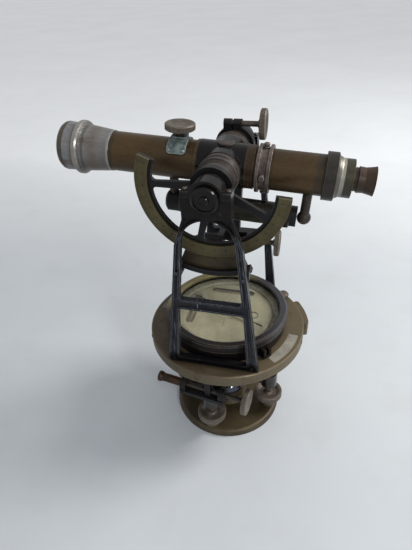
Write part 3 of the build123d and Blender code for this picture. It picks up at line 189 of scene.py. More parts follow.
def aged(
    name,
    body,
    shade,
    worn,
    metallic=0.0,
    rough=(0.35, 0.6),
    patch=35.0,
    wear=0.6,
    wear_width=0.6 * mm,
    recess_shade=0.6,
    recess_shade_reach=8 * mm,
    dust=None,
    dust_share=0.0,
    stain=None,
    stain_level=0.6,
    scratch=0.0,
    specular=0.5,
    coat=0.0,
    coat_rough=0.12,
    bump=0.12,
    stretch=(1, 1, 1),
    zones=(),
    wall=None,
    wall_share=0.8,
    underside_shade=0.4,
    unworn=(),
):
    """Old metal or lacquer: two mottled tones, rubbed edges, painted shade in recesses, scratches, dust and
    stains.

    Zones are (start, way, low, high, colour, share, softness): a tint between two distances along a way.
    Wall is the tint of upright faces and wall_share its strength. Faces that look down get painted shade,
    of a strength given by an argument. Between the heights in unworn, in millimetres, nothing is rubbed.
    """
    finish = Finish(name)
    broad = finish.noise(patch, detail=6.0, roughness=0.62, stretch=stretch)
    fine = finish.noise(650.0, detail=3.0, roughness=0.6, stretch=stretch, shift=(0.3, 0.7, 0.1))
    colour = finish.mix(finish.spread(broad, 0.34, 0.66), body, shade)
    normal = finish.node("ShaderNodeSeparateXYZ", {"Vector": finish.place.outputs["Normal"]})
    # Deep tone of the shade colour, used for the painted shade below.
    painted_shade_tone = tuple(channel * 0.25 for channel in shade[:3]) + (1.0,)
    if wall is not None:
        upright = finish.spread(finish.math("ABSOLUTE", normal.outputs["Z"]), 0.25, 0.6, wall_share, 0.0)
        uneven = finish.spread(broad, 0.2, 0.6, 0.7, 1.0)
        colour = finish.mix(finish.math("MULTIPLY", upright, uneven), colour, wall)
    for start, way, low, high, tint, share, soft in zones:
        inside = finish.band(finish.along(start, way), low, high, soft)
        uneven = finish.spread(broad, 0.2, 0.6, 0.75 * share, share)
        colour = finish.mix(finish.math("MULTIPLY", inside, uneven), colour, tint)
    speck = finish.spread(fine, 0.3, 0.75, 0.86, 1.1)
    speck_colour = finish.node("ShaderNodeCombineColor", {"Red": speck, "Green": speck, "Blue": speck})
    colour = finish.mix(1.0, colour, speck_colour.outputs["Color"], "MULTIPLY")
    if stain is not None:
        spots = finish.noise(patch * 2.6, detail=5.0, roughness=0.7, stretch=stretch, shift=(0.9, 0.2, 0.5))
        colour = finish.mix(finish.spread(spots, stain_level, stain_level + 0.14, 0.0, 0.8), colour, stain)
    if dust is not None:
        up = finish.spread(normal.outputs["Z"], 0.35, 1.0, 0.0, dust_share)
        uneven = finish.spread(broad, 0.25, 0.7, 0.6, 1.0)
        colour = finish.mix(finish.math("MULTIPLY", up, uneven), colour, dust)
    # Painted shade: faces that look down are pulled towards the deep tone.
    colour = finish.mix(finish.spread(normal.outputs["Z"], -0.8, 0.1, underside_shade, 0.0), colour, painted_shade_tone)
    # Painted shade in recesses: where occlusion finds little open air, the colour is pulled to the deep tone.
    air = finish.open_air(recess_shade_reach)
    deep = finish.spread(air, 0.25, 0.85, recess_shade, 0.0)
    colour = finish.mix(deep, colour, painted_shade_tone)
    rubbed = finish.math("MULTIPLY", finish.edges(wear_width), finish.spread(fine, 0.32, 0.62, 0.25, 1.0))
    rubbed = finish.math("MULTIPLY", rubbed, wear)
    rubbed = finish.math("MULTIPLY", rubbed, finish.spread(air, 0.3, 0.8))
    if scratch:
        lines = finish.noise(420.0, detail=2.0, roughness=0.5, stretch=(1, 1, 0.06), shift=(0.4, 0.1, 0.8))
        patches = finish.noise(55.0, detail=3.0, shift=(0.2, 0.6, 0.3))
        thin = finish.spread(lines, 0.62, 0.7)
        marks = finish.math("MULTIPLY", thin, finish.spread(patches, 0.46, 0.6, 0.0, scratch))
        rubbed = finish.math("MAXIMUM", rubbed, marks)
    for low, high in unworn:
        inside = finish.band(finish.along(origin, Vector((0, 0, 1))), low * mm, high * mm, 1.5 * mm)
        rubbed = finish.math("MULTIPLY", rubbed, finish.math("SUBTRACT", 1.0, inside))
    colour = finish.mix(rubbed, colour, worn)
    finish.feed(finish.shader.inputs["Base Color"], colour)
    finish.shader.inputs["Metallic"].default_value = metallic
    gloss = finish.math(
        "ADD",
        finish.spread(broad, 0.3, 0.7, rough[0], rough[1]),
        finish.spread(fine, 0.3, 0.7, -0.05, 0.06),
    )
    finish.feed(finish.shader.inputs["Roughness"], gloss)
    finish.shader.inputs["Specular IOR Level"].default_value = specular
    finish.shader.inputs["Coat Weight"].default_value = coat
    finish.shader.inputs["Coat Roughness"].default_value = coat_rough
    rounded = finish.node("ShaderNodeBevel", {"Radius": 0.25 * mm}, samples=6)
    relief = finish.node(
        "ShaderNodeBump",
        {"Strength": bump, "Distance": 0.12 * mm, "Height": fine, "Normal": rounded.outputs["Normal"]},
    )
    finish.feed(finish.shader.inputs["Normal"], relief.outputs["Normal"])
    return finish.material


def clear(name, tint, film, film_share=0.35, haze=0.0, roughness=0.03):
    """Glass that lamps shine through, with a dusty film."""
    finish = Finish(name)
    patches = finish.noise(60.0, detail=5.0, roughness=0.65)
    filmed = finish.mix(finish.spread(patches, 0.4, 0.8, 0.0, film_share), tint, film)
    finish.feed(finish.shader.inputs["Base Color"], filmed)
    gloss = finish.spread(patches, 0.35, 0.75, roughness, roughness + 0.07)
    finish.feed(finish.shader.inputs["Roughness"], gloss)
    finish.shader.inputs["Transmission Weight"].default_value = 1.0 - haze
    finish.shader.inputs["IOR"].default_value = 1.2
    path = finish.node("ShaderNodeLightPath")
    through = finish.node("ShaderNodeBsdfTransparent", {"Color": tint})
    mixed = finish.node(
        "ShaderNodeMixShader",
        {0: path.outputs["Is Shadow Ray"], 1: finish.shader.outputs["BSDF"], 2: through.outputs["BSDF"]},
    )
    output = finish.tree.nodes["Material Output"]
    finish.tree.links.new(mixed.outputs["Shader"], output.inputs["Surface"])
    return finish.material


def station(low, high, tint, share=0.9, soft=0.35):
    """A zone between two stations along the telescope, in millimetres from its pivot."""
    return (scope.translation, scope_way, low * mm, high * mm, tint, share, soft * mm)


def level(low, high, tint, share=0.9):
    """A zone between two heights, in millimetres."""
    return (origin, Vector((0, 0, 1)), low * mm, high * mm, tint, share, 0.35 * mm)


def side(x, y, low, tint, share=0.8, soft=8.0):
    """A zone on the side that faces (x, y), from a distance out in millimetres."""
    return (origin, Vector((x, y, 0)).normalized(), low * mm, 200 * mm, tint, share, soft * mm)


black = aged(
    "black_lacquer", rgb(24, 22, 24), rgb(15, 14, 15), rgb(98, 92, 88), rough=(0.34, 0.55), wear=0.7,
    dust=rgb(58, 54, 50), dust_share=0.2, stain=rgb(58, 46, 36), stain_level=0.66, specular=0.28,
)
standard_black = aged(
    "worn_lacquer", rgb(44, 46, 51), rgb(24, 24, 27), rgb(124, 128, 136), rough=(0.28, 0.48), wear=0.95,
    wear_width=0.8 * mm, patch=60.0, stain=rgb(66, 66, 70), stain_level=0.6, scratch=0.6, specular=0.18,
    # The band from 117 to 128 mm is painted shade: the sill between the legs is made near black and kept
    # unrubbed.
    zones=(level(258, 330, rgb(18, 13, 12), 0.97), level(117, 128, rgb(12, 10, 11), 0.97)),
    unworn=((110, 128), (262, 330)),
)
gloss_black = aged(
    "glossy_lacquer", rgb(17, 13, 12), rgb(11, 9, 8), rgb(96, 84, 74), rough=(0.18, 0.3), wear=0.5,
    stain=rgb(44, 38, 36), stain_level=0.64, recess_shade=0.3, specular=0.16, coat=0.2, coat_rough=0.05, bump=0.03,
)
step_black = aged(
    "stepped_lacquer", rgb(62, 54, 48), rgb(38, 33, 30), rgb(136, 122, 108), rough=(0.3, 0.45), wear=0.95,
    wear_width=0.7 * mm, stain=rgb(60, 52, 46), stain_level=0.6, specular=0.35, coat=0.1, bump=0.05,
)
box_black = aged(
    "box_lacquer", rgb(20, 14, 13), rgb(12, 8, 8), rgb(84, 72, 58), rough=(0.4, 0.58), wear=0.6,
    stain=rgb(46, 34, 26), stain_level=0.62, specular=0.2,
)
bezel_lacquer = aged(
    "bezel_lacquer", rgb(30, 25, 24), rgb(19, 16, 15), rgb(140, 126, 104), rough=(0.3, 0.46), wear=0.9,
    wear_width=0.9 * mm, patch=48.0, stain=rgb(62, 52, 43), stain_level=0.6, specular=0.25, coat=0.05,
    bump=0.06,
    zones=(
        # Far-left side: brass showing through the lacquer, with a painted glint on it.
        side(-0.64, 0.77, 28, rgb(132, 122, 80), 0.85, 9.0),
        # Right side: a painted highlight, lighter blue-grey.
        side(0.96, 0.28, 38, rgb(72, 72, 78), 0.6, 12.0),
    ),
)
tube_bronze = aged(
    "tube_bronze", rgb(92, 73, 47), rgb(68, 53, 35), rgb(150, 128, 92), metallic=0.65, rough=(0.3, 0.44),
    patch=28.0, wear=0.6, stain=rgb(54, 38, 26), stain_level=0.6, bump=0.05, stretch=(0.5, 1, 1),
    zones=(
        station(75.0, 84.0, rgb(60, 52, 43), 0.85, 2.0),
        station(20.0, 27.0, rgb(56, 44, 34), 0.7),
        station(-99.0, -94.5, rgb(58, 50, 40), 0.6),
    ),
)
plate_bronze = aged(
    "plate_bronze", rgb(92, 77, 57), rgb(68, 56, 42), rgb(146, 134, 104), metallic=0.35, rough=(0.4, 0.58),
    patch=30.0, wear=0.85, wear_width=0.8 * mm, stain=rgb(44, 35, 27), stain_level=0.56, bump=0.08,
    dust=rgb(88, 78, 58), dust_share=0.15, wall=rgb(94, 85, 63),
    # Painted light: the right side of the plate is lighter.
    zones=(side(1.0, -0.1, 14, rgb(118, 106, 80), 0.4, 26.0),),
)
olive_bronze = aged(
    "olive_bronze", rgb(90, 80, 56), rgb(62, 50, 32), rgb(144, 132, 98), metallic=0.4, rough=(0.36, 0.52),
    patch=24.0, wear=0.8, wear_width=0.8 * mm, stain=rgb(46, 34, 22), stain_level=0.58, bump=0.06,
    # Painted shade: the left side of the foot plate is darker.
    zones=(side(-1.0, -0.2, 26, rgb(46, 35, 20), 0.75, 16.0),),
)
head_bronze = aged(
    "head_bronze", rgb(62, 59, 56), rgb(36, 33, 31), rgb(140, 134, 124), metallic=0.65, rough=(0.14, 0.26),
    patch=40.0, wear=0.7, stain=rgb(26, 21, 18), stain_level=0.56, bump=0.08, specular=0.4, coat=0.4,
)
arc_bronze = aged(
    "arc_bronze", rgb(94, 86, 56), rgb(72, 64, 42), rgb(138, 126, 90), metallic=0.35, rough=(0.4, 0.56),
    patch=30.0, wear=0.6, stain=rgb(48, 38, 26), stain_level=0.62, bump=0.06, specular=0.4,
)
vernier_bronze = aged(
    "vernier_bronze", rgb(68, 58, 38), rgb(44, 36, 26), rgb(120, 106, 74), metallic=0.35, rough=(0.4, 0.56),
    patch=46.0, wear=0.6, stain=rgb(32, 25, 19), stain_level=0.58, bump=0.06, specular=0.35,
)
bezel_brass = aged(
    "bezel_brass", rgb(112, 102, 76), rgb(74, 66, 52), rgb(176, 164, 122), metallic=0.5, rough=(0.34, 0.5),
    patch=34.0, wear=0.8, stain=rgb(52, 46, 40), stain_level=0.54, bump=0.08,
)
tarnish = aged(
    "tarnished_brass", rgb(108, 97, 87), rgb(79, 70, 61), rgb(160, 150, 136), metallic=0.45,
    rough=(0.38, 0.56), patch=90.0, wear=0.85, stain=rgb(56, 46, 38), stain_level=0.57,
)
dark_tarnish = aged(
    "dark_tarnish", rgb(66, 56, 47), rgb(44, 37, 31), rgb(120, 106, 90), metallic=0.4, rough=(0.38, 0.56),
    patch=110.0, wear=0.7, stain=rgb(34, 27, 22), stain_level=0.58,
)
nickel = aged(
    "dull_nickel", rgb(142, 140, 137), rgb(116, 110, 104), rgb(184, 183, 178), metallic=0.7,
    rough=(0.26, 0.42), patch=40.0, stain=rgb(98, 78, 64), stain_level=0.57, bump=0.06, stretch=(0.4, 1, 1),
    zones=(
        station(-146.0, -138.6, rgb(82, 68, 54), 0.9),
        station(-138.6, -133.4, rgb(140, 142, 142), 0.8),
        station(-131.5, -129.6, rgb(86, 80, 74), 0.6),
        station(-129.4, -124.4, rgb(166, 160, 152), 0.7),
        station(-122.0, -119.8, rgb(88, 80, 72), 0.7),
        station(-116.0, -109.0, rgb(112, 94, 80), 0.5, 2.5),
        station(-99.9, -97.6, rgb(158, 160, 158), 0.8),
    ),
)
verdigris = aged(
    "verdigris_nickel", rgb(128, 138, 135), rgb(52, 64, 65), rgb(180, 192, 187), metallic=0.3,
    rough=(0.4, 0.6), patch=210.0, wear=1.0, wear_width=1.1 * mm, stain=rgb(136, 150, 144), stain_level=0.54,
    bump=0.2,
)
reticle_grey = aged(
    "reticle_brass", rgb(120, 108, 102), rgb(74, 60, 52), rgb(180, 171, 162), metallic=0.45,
    rough=(0.36, 0.54), patch=110.0, wear=0.9, wear_width=0.7 * mm, stain=rgb(50, 36, 29), stain_level=0.56,
)
plug_brown = aged(
    "plug_bronze", rgb(66, 57, 50), rgb(46, 39, 34), rgb(134, 122, 110), metallic=0.4, rough=(0.34, 0.5),
    patch=70.0, wear=0.9, stain=rgb(48, 40, 36), stain_level=0.58,
)
eye_brass = aged(
    "eyepiece_brass", rgb(58, 54, 48), rgb(40, 36, 32), rgb(146, 140, 126), metallic=0.5, rough=(0.3, 0.46),
    patch=60.0, wear=0.75, stain=rgb(50, 41, 33), stain_level=0.58,
    zones=(
        # The next two bands are a painted highlight across the polished nose, lightest in the second.
        station(90.8, 94.0, rgb(112, 108, 98), 0.8),
        station(94.0, 97.2, rgb(170, 166, 154), 0.85),
        station(97.2, 103.2, rgb(66, 65, 50), 0.9),
        station(103.2, 106.0, rgb(76, 58, 42), 0.85),
    ),
)
cup_brass = aged(
    "eyecup_brass", rgb(74, 54, 37), rgb(50, 37, 26), rgb(130, 106, 80), metallic=0.35, rough=(0.32, 0.48),
    patch=80.0, wear=0.8, stain=rgb(46, 33, 24), stain_level=0.56,
)
level_olive = aged(
    "level_bronze", rgb(60, 57, 48), rgb(38, 35, 30), rgb(122, 116, 98), metallic=0.3, rough=(0.36, 0.52),
    patch=40.0, wear=0.7, stain=rgb(30, 26, 22), stain_level=0.56, specular=0.35,
)
tangent = joints["lower_tangent_screw_turn"]
tangent_shank = (-60 * mm, 38 * mm)
tangent_brass = aged(
    "tangent_brass", rgb(114, 104, 94), rgb(88, 78, 69), rgb(160, 150, 136), metallic=0.45,
    rough=(0.38, 0.56), patch=90.0, wear=0.85, stain=rgb(62, 50, 42), stain_level=0.58,
    zones=(
        (Vector(tangent["pos_m"]), Vector(tangent["axis"]), *tangent_shank, rgb(42, 37, 33), 0.9, 0.35 * mm),
    ),
)
spring_brass = aged(
    "spring_brass", rgb(72, 47, 28), rgb(46, 31, 19), rgb(122, 88, 55), metallic=0.5, rough=(0.36, 0.5),
    patch=90.0, wear=0.7,
)
silver = aged(
    "silvered_brass", rgb(137, 129, 110), rgb(117, 109, 91), rgb(186, 178, 158), metallic=0.1,
    rough=(0.4, 0.56), patch=26.0, wear=0.2, recess_shade=0.3, recess_shade_reach=5 * mm, stain=rgb(104, 94, 74), bump=0.04,
    zones=(
        # Painted reflection: a grey haze on the right-front side.
        side(0.84, -0.54, 30, rgb(116, 108, 96), 0.8, 14.0),
        level(111, 115, rgb(170, 164, 148), 0.7),
    ),
)
vial_brass = aged(
    "vial_brass", rgb(104, 92, 80), rgb(80, 70, 60), rgb(140, 128, 108), metallic=0.3, rough=(0.4, 0.56),
    patch=60.0, wear=0.4, stain=rgb(60, 50, 42), stain_level=0.6, recess_shade=0.2,
)
polished = aged(
    "polished_steel", rgb(96, 98, 106), rgb(48, 48, 54), rgb(190, 194, 204), metallic=0.85,
    rough=(0.12, 0.22), patch=60.0, wear=0.5, stain=rgb(58, 54, 52), recess_shade=0.5, bump=0.04,
)
steel = aged(
    "blued_steel", rgb(64, 60, 50), rgb(44, 42, 38), rgb(134, 130, 120), metallic=0.7, rough=(0.25, 0.4)
)
engraving = aged(
    "engraving", rgb(34, 31, 27), rgb(24, 22, 20), rgb(60, 56, 50), rough=(0.6, 0.8), specular=0.2
)
glass = clear("clear_glass", (0.93, 0.96, 0.93, 1.0), rgb(196, 194, 186))
pane_glass = clear(
    "dusty_pane", rgb(176, 172, 160), rgb(120, 114, 104), film_share=0.9, haze=0.55, roughness=0.2
)
vial_glass = clear(
    "vial_glass", rgb(136, 122, 102), rgb(92, 80, 66), film_share=0.6, haze=0.5, roughness=0.12
)
bubble_air = clear("bubble", (0.9, 0.94, 0.88, 1.0), rgb(196, 200, 186), haze=0.2, roughness=0.05)

finish_of_node = {
    "foot_plate": olive_bronze,
    "half_ball": head_bronze,
    "levelling_shoes": plate_bronze,
    "levelling_head": head_bronze,
    "lower_clamp_collar": black,
    "lower_clamp_screw": dark_tarnish,
    "lower_tangent_bracket": black,
    "lower_spring_box": spring_brass,
    "lower_plunger": dark_tarnish,
    "lower_tangent_screw": tangent_brass,
    "outer_centre": plate_bronze,
    "inner_centre": plate_bronze,
    "limb_plate": plate_bronze,
    "limb_scale": silver,
    "vernier_plate": plate_bronze,
    "vernier_windows": pane_glass,
    "vernier_scales": silver,
    "compass_box": box_black,
    "compass_face": silver,
    "plate_vials": vial_glass,
    "compass_ring": silver,
    "compass_glass": glass,
    "compass_bezel": bezel_lacquer,
    "compass_needle": steel,
    "needle_lift_screw": tarnish,
    "declination_clamp": box_black,
    "front_standard": standard_black,
    "far_standard": standard_black,
    "bearing_caps": gloss_black,
    "vertical_vernier": vernier_bronze,
    "vernier_bracket": black,
    "axis_clamp_arm": black,
    "axis_clamp_screw": tarnish,
    "vertical_tangent_bracket": black,
    "vertical_tangent_screw": tarnish,
    "upper_clamp": plate_bronze,
    "upper_clamp_screw": tarnish,
    "main_tube": tube_bronze,
    "axis_sleeve": gloss_black,
    "trunnions": step_black,
    "axle_caps": gloss_black,
    "objective_slide": tube_bronze,
    "objective_head": nickel,
    "objective_lens": glass,
    "focus_mount": verdigris,
    "focus_knob": tarnish,
    "reticle_collar": reticle_grey,
    "eyepiece_flange": eye_brass,
    "eyepiece_tube": eye_brass,
    "eyecup": cup_brass,
    "level_housing": level_olive,
    "level_glass": glass,
    "level_ends": black,
    "level_posts": dark_tarnish,
    "arc_frame": black,
    "arc_scale": arc_bronze,
}
for number in range(1, 5):
    finish_of_node[f"levelling_screw_{number}"] = tarnish

for node_name, cad_object in frame["nodes"].items():
    cad_object.data.materials.clear()
    cad_object.data.materials.append(finish_of_node[node_name])


# ==== pieces: how they are made ====


def facing(point, way):
    """Frame at a point with its Z along a direction."""
    return Matrix.Translation(point) @ Vector(way).to_track_quat("Z", "Y").to_matrix().to_4x4()


def on_scope(along, across, up):
    """Point given by its place along the telescope, across it and above its axis, in millimetres."""
    return scope @ Vector((along * mm, across * mm, up * mm))


def joined(low, high):
    """Wall between two rings of vertices, either of which may be a single point."""
    count = max(len(low), len(high))
    for k in range(count):
        after = k + 1
        corners = [low[k % len(low)], low[after % len(low)], high[after % len(high)], high[k % len(high)]]
        yield list(dict.fromkeys(corners))


def lathe(outline, segments, ridge=0.0):
    """Turned body about Z from (radius, height) points; every other segment may stand out as a ridge."""
    made = bmesh.new()
    rings = []
    for radius, height, raised in [(*point, 0.0)[:3] for point in outline]:
        if radius == 0:
            rings.append([made.verts.new((0, 0, height))])
            continue
        ring = []
        for k in range(segments):
            reach = radius + (ridge * raised if k % 2 else 0.0)
            angle = 2 * pi * k / segments
            ring.append(made.verts.new((reach * cos(angle), reach * sin(angle), height)))
        rings.append(ring)
    follow = rings[1:] if len(rings[0]) == 1 else rings[1:] + rings[:1]
    for low, high in zip(rings, follow):
        for corners in joined(low, high):
            made.faces.new(corners)
    return made


def add_piece(name, made, place, body, material, sharp=40.0):
    """Turns a bmesh into an object that rides on a body. Its mesh is in the row frame."""
    bmesh.ops.transform(made, matrix=place, verts=made.verts)
    bmesh.ops.recalc_face_normals(made, faces=made.faces)
    mesh = bpy.data.meshes.new(name)
    made.to_mesh(mesh)
    made.free()
    mesh.shade_smooth()
    mesh.set_sharp_from_angle(angle=radians(sharp))
    mesh.materials.append(material)
    piece = bpy.data.objects.new(name, mesh)
    bpy.context.scene.collection.objects.link(piece)
    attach(piece, body)
    return piece


def screw(name, point, way, radius, body, material=black, turn=0.6):
    """Slotted cheese-head screw, its seat at the point."""
    height = 0.5 * radius
    half_slot = 0.15 * radius
    edge = 0.15 * radius
    made = lathe(
        [(0, -edge), (radius, -edge), (radius, height - edge), (radius - edge, height), (0, height)], 24
    )
    for slot_side in (-half_slot, half_slot):
        everything = made.verts[:] + made.edges[:] + made.faces[:]
        bmesh.ops.bisect_plane(made, geom=everything, plane_co=(slot_side, 0, 0), plane_no=(1, 0, 0))
    strip = [
        face for face in made.faces
        if abs(face.calc_center_median().x) < half_slot and face.calc_center_median().z > height - 0.7 * edge
    ]
    sunk = bmesh.ops.extrude_face_region(made, geom=strip)
    for vertex in (part for part in sunk["geom"] if isinstance(part, bmesh.types.BMVert)):
        vertex.co.z -= 0.3 * radius
    place = facing(point, way) @ Matrix.Rotation(turn, 4, "Z")
    return add_piece(name, made, place, body, material, 30.0)


def rim_of(node, joint_name):
    """Radius and face heights of a wheel, measured on its CAD mesh about its joint's axis."""
    joint = joints[joint_name]
    middle, way = Vector(joint["pos_m"]), Vector(joint["axis"]).normalized()
    spots = [vertex.co - middle for vertex in frame["nodes"][node].data.vertices]
    reaches = [(spot - way * spot.dot(way)).length for spot in spots]
    widest = max(reaches)
    heights = [spot.dot(way) for spot, reach in zip(spots, reaches) if reach > 0.915 * widest]
    return middle, way, widest, min(heights), max(heights)


def milled_rim(node, joint_name, material, proud=0.1 * mm):
    """Band of fine ridges round a thumb wheel, square-edged and a little proud of its faces."""
    middle, way, radius, low, high = rim_of(node, joint_name)
    pitch = 1.15 * mm
    segments = 2 * round(2 * pi * radius / pitch)
    inner = 0.9 * radius
    round_off = 0.25 * mm
    smooth = 0.5 * mm
    outline = [
        (inner, low - proud),
        (radius - round_off, low - proud),
        (radius, low + round_off),
        (radius, low + smooth, 1.0),
        (radius, high - smooth, 1.0),
        (radius, high - round_off),
        (radius - round_off, high + proud),
        (inner, high + proud),
    ]
    made = lathe(outline, segments, ridge=0.4 * mm)
    body = joints[joint_name]["child"]
    add_piece(f"{node}_milling", made, facing(middle, way), body, material, 25.0)


def bar(made, place, length, width, thickness):
    """Adds a thin straight bar along X, lying on the plane of the place."""
    corners = []
    for z in (0, thickness):
        for x, y in ((0, -width / 2), (length, -width / 2), (length, width / 2), (0, width / 2)):
            corners.append(made.verts.new(place @ Vector((x, y, z))))
    for face in ((0, 3, 2, 1), (4, 5, 6, 7), (0, 1, 5, 4), (1, 2, 6, 5), (2, 3, 7, 6), (3, 0, 4, 7)):
        made.faces.new([corners[k] for k in face])


def write(made, text, place, size, depth):
    """Adds raised figures, centred on the place."""
    curve = bpy.data.curves.new("figures", "FONT")
    curve.body = text
    curve.size = size
    curve.extrude = depth
    curve.resolution_u = 2
    curve.align_x = "CENTER"
    curve.align_y = "CENTER"
    writer = bpy.data.objects.new("figures", curve)
    bpy.context.scene.collection.objects.link(writer)
    bpy.context.view_layer.update()
    shape = bpy.data.meshes.new_from_object(writer.evaluated_get(bpy.context.evaluated_depsgraph_get()))
    shape.transform(place)
    made.from_mesh(shape)
    bpy.data.meshes.remove(shape)
    bpy.data.objects.remove(writer)
    bpy.data.curves.remove(curve)


def divided_circle(name, body, plane, start, span, every, lines, figures=None):
    """Graduations on a circle or arc of a plane, from a start angle on, in degrees.

    Lines are (step, from radius, to radius, width), coarsest first. Figures are (step, radius, size, most).
    """
    made = bmesh.new()
    thickness = 0.04 * mm
    count = round(span / every)
    for k in range(count + 1):
        along = k * every
        for step, inner, outer, width in lines:
            if abs(along / step - round(along / step)) < 1e-6:
                turned = plane @ Matrix.Rotation(radians(start + along), 4, "Z")
                bar(made, turned @ Matrix.Translation((inner, 0, 0)), outer - inner, width, thickness)
                break
    if figures:
        step, radius, size, most = figures
        for k in range(round(span / step) + (span < 360)):
            value = abs((k * step + most) % (2 * most) - most)
            turned = plane @ Matrix.Rotation(radians(start + k * step), 4, "Z")
            spot = turned @ Matrix.Translation((radius, 0, thickness / 2)) @ Matrix.Rotation(-pi / 2, 4, "Z")
            write(made, str(round(value)), spot, size, thickness / 2)
    add_piece(name, made, Matrix.Identity(4), body, engraving, 30.0)


# ==== pieces on the wheels and screws ====

for number in range(1, 5):
    milled_rim(f"levelling_screw_{number}", f"levelling_screw_{number}_turn", tarnish)
milled_rim("lower_tangent_screw", "lower_tangent_screw_turn", tangent_brass)
milled_rim("lower_clamp_screw", "lower_clamp_screw_turn", dark_tarnish)
milled_rim("vertical_tangent_screw", "vertical_tangent_screw_turn", tarnish)
milled_rim("axis_clamp_screw", "axis_clamp_screw_turn", tarnish)
milled_rim("upper_clamp_screw", "upper_clamp_screw_turn", tarnish)
milled_rim("needle_lift_screw", "needle_lift_turn", tarnish)
milled_rim("focus_knob", "focus_knob_turn", tarnish, proud=-0.08 * mm)

# ==== piece over the half ball ====

ball_cover = lathe(
    [
        (18.6 * mm, 21.4 * mm), (18.8 * mm, 22.6 * mm), (17.6 * mm, 26.4 * mm), (15.0 * mm, 29.8 * mm),
        (11.8 * mm, 32.0 * mm), (8.7 * mm, 32.4 * mm), (8.7 * mm, 31.7 * mm), (11.4 * mm, 31.2 * mm),
        (14.2 * mm, 29.2 * mm), (16.6 * mm, 26.0 * mm), (17.8 * mm, 22.6 * mm), (17.8 * mm, 21.4 * mm),
    ],
    64,
)
add_piece("ball_cover", ball_cover, Matrix.Identity(4), "base", polished, 50.0)

# ==== pieces on the compass ====

ring_low, ring_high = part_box("compass_ring")
ring_outer = ring_high.x
ring_width = 7.7 * mm
ring_plane = Matrix.Translation((0, 0, ring_high.z))
divided_circle(
    "compass_graduations", "alidade", ring_plane, 0.0, 359.0, 1.0,
    [
        (10.0, ring_outer - 4.4 * mm, ring_outer - 0.5 * mm, 0.22 * mm),
        (5.0, ring_outer - 3.2 * mm, ring_outer - 0.5 * mm, 0.18 * mm),
        (1.0, ring_outer - 2.2 * mm, ring_outer - 0.5 * mm, 0.14 * mm),
    ],
    (10.0, ring_outer - 5.7 * mm, 2.3 * mm, 90.0),
)

needle_low, needle_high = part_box("compass_needle")
needle_azimuth = radians(-25.0)
dial_top = ring_low.z
dial_lines = bmesh.new()
dial_radius = ring_outer - ring_width
inner_circle = 11.0 * mm
line_width = 0.22 * mm
line_depth = 0.04 * mm
for quarter in range(4):
    turned = Matrix.Translation((0, 0, dial_top)) @ Matrix.Rotation(quarter * pi / 2, 4, "Z")
    bar(dial_lines, turned @ Matrix.Translation((inner_circle, 0, 0)), 12 * mm, line_width, line_depth)
    outer_end = Matrix.Translation((dial_radius - 5 * mm, 0, 0))
    bar(dial_lines, turned @ outer_end, 4.6 * mm, line_width, line_depth)
add_piece("dial_lines", dial_lines, Matrix.Identity(4), "alidade", engraving)
circle_depth = 0.05 * mm
dial_place = Matrix.Translation((0, 0, dial_top))
for label, radius in (("inner", inner_circle), ("outer", dial_radius - 0.9 * mm)):
    wide = radius + line_width
    circle = lathe([(radius, 0), (wide, 0), (wide, circle_depth), (radius, circle_depth)], 96)
    add_piece(f"dial_circle_{label}", circle, dial_place, "alidade", engraving)

loop_radius = 4.7 * mm
loop_wire = 0.4 * mm
loop = lathe(
    [
        (loop_radius + loop_wire * cos(pi * k / 4), loop_wire * (1 + sin(pi * k / 4)))
        for k in range(8)
    ],
    48,
)
loop_place = Matrix.Translation((28 * mm, 0, dial_top))
add_piece("dial_loop", loop, loop_place, "alidade", steel)

jewel = lathe(
    [(0, 0), (2.6 * mm, 0), (2.6 * mm, 0.5 * mm), (1.9 * mm, 1.1 * mm), (0.9 * mm, 1.6 * mm), (0, 1.7 * mm)],
    32,
)
jewel_place = Matrix.Translation((0, 0, needle_high.z))
add_piece("needle_jewel_cap", jewel, jewel_place, "needle", bezel_brass)


def needle_point(reach):
    """Point on the needle's line, a distance out from its pivot."""
    middle = (needle_low.z + needle_high.z) / 2
    return Vector((reach * cos(needle_azimuth), reach * sin(needle_azimuth), middle))


needle_way = (cos(needle_azimuth), sin(needle_azimuth), 0)
coil = bmesh.new()
turns = 5
steps = 16
wire = 0.28 * mm
wire_corners = 6
coil_radius = 1.5 * mm
previous = None
for k in range(turns * steps + 1):
    angle = 2 * pi * k / steps
    centre = Vector((coil_radius * cos(angle), coil_radius * sin(angle), k * 2.2 * wire / steps))
    out = Vector((cos(angle), sin(angle), 0))
    ring = [
        coil.verts.new(centre + wire * (cos(lean) * out + sin(lean) * Vector((0, 0, 1))))
        for lean in (2 * pi * j / wire_corners for j in range(wire_corners))
    ]
    if previous:
        for corners in joined(previous, ring):
            coil.faces.new(corners)
    else:
        coil.faces.new(ring[::-1])
    previous = ring
coil.faces.new(previous)
coil_start = needle_point(27 * mm)
add_piece("needle_balance_coil", coil, facing(coil_start, needle_way), "needle", bezel_brass)
pointer = bmesh.new()
pointer_place = Matrix.Rotation(needle_azimuth, 4, "Z")
pointer_place.translation = needle_point(37 * mm) - Vector((0, 0, 0.55 * mm))
bar(pointer, pointer_place, 6.4 * mm, 1.3 * mm, 1.1 * mm)
add_piece("needle_pointer", pointer, Matrix.Identity(4), "needle", steel)

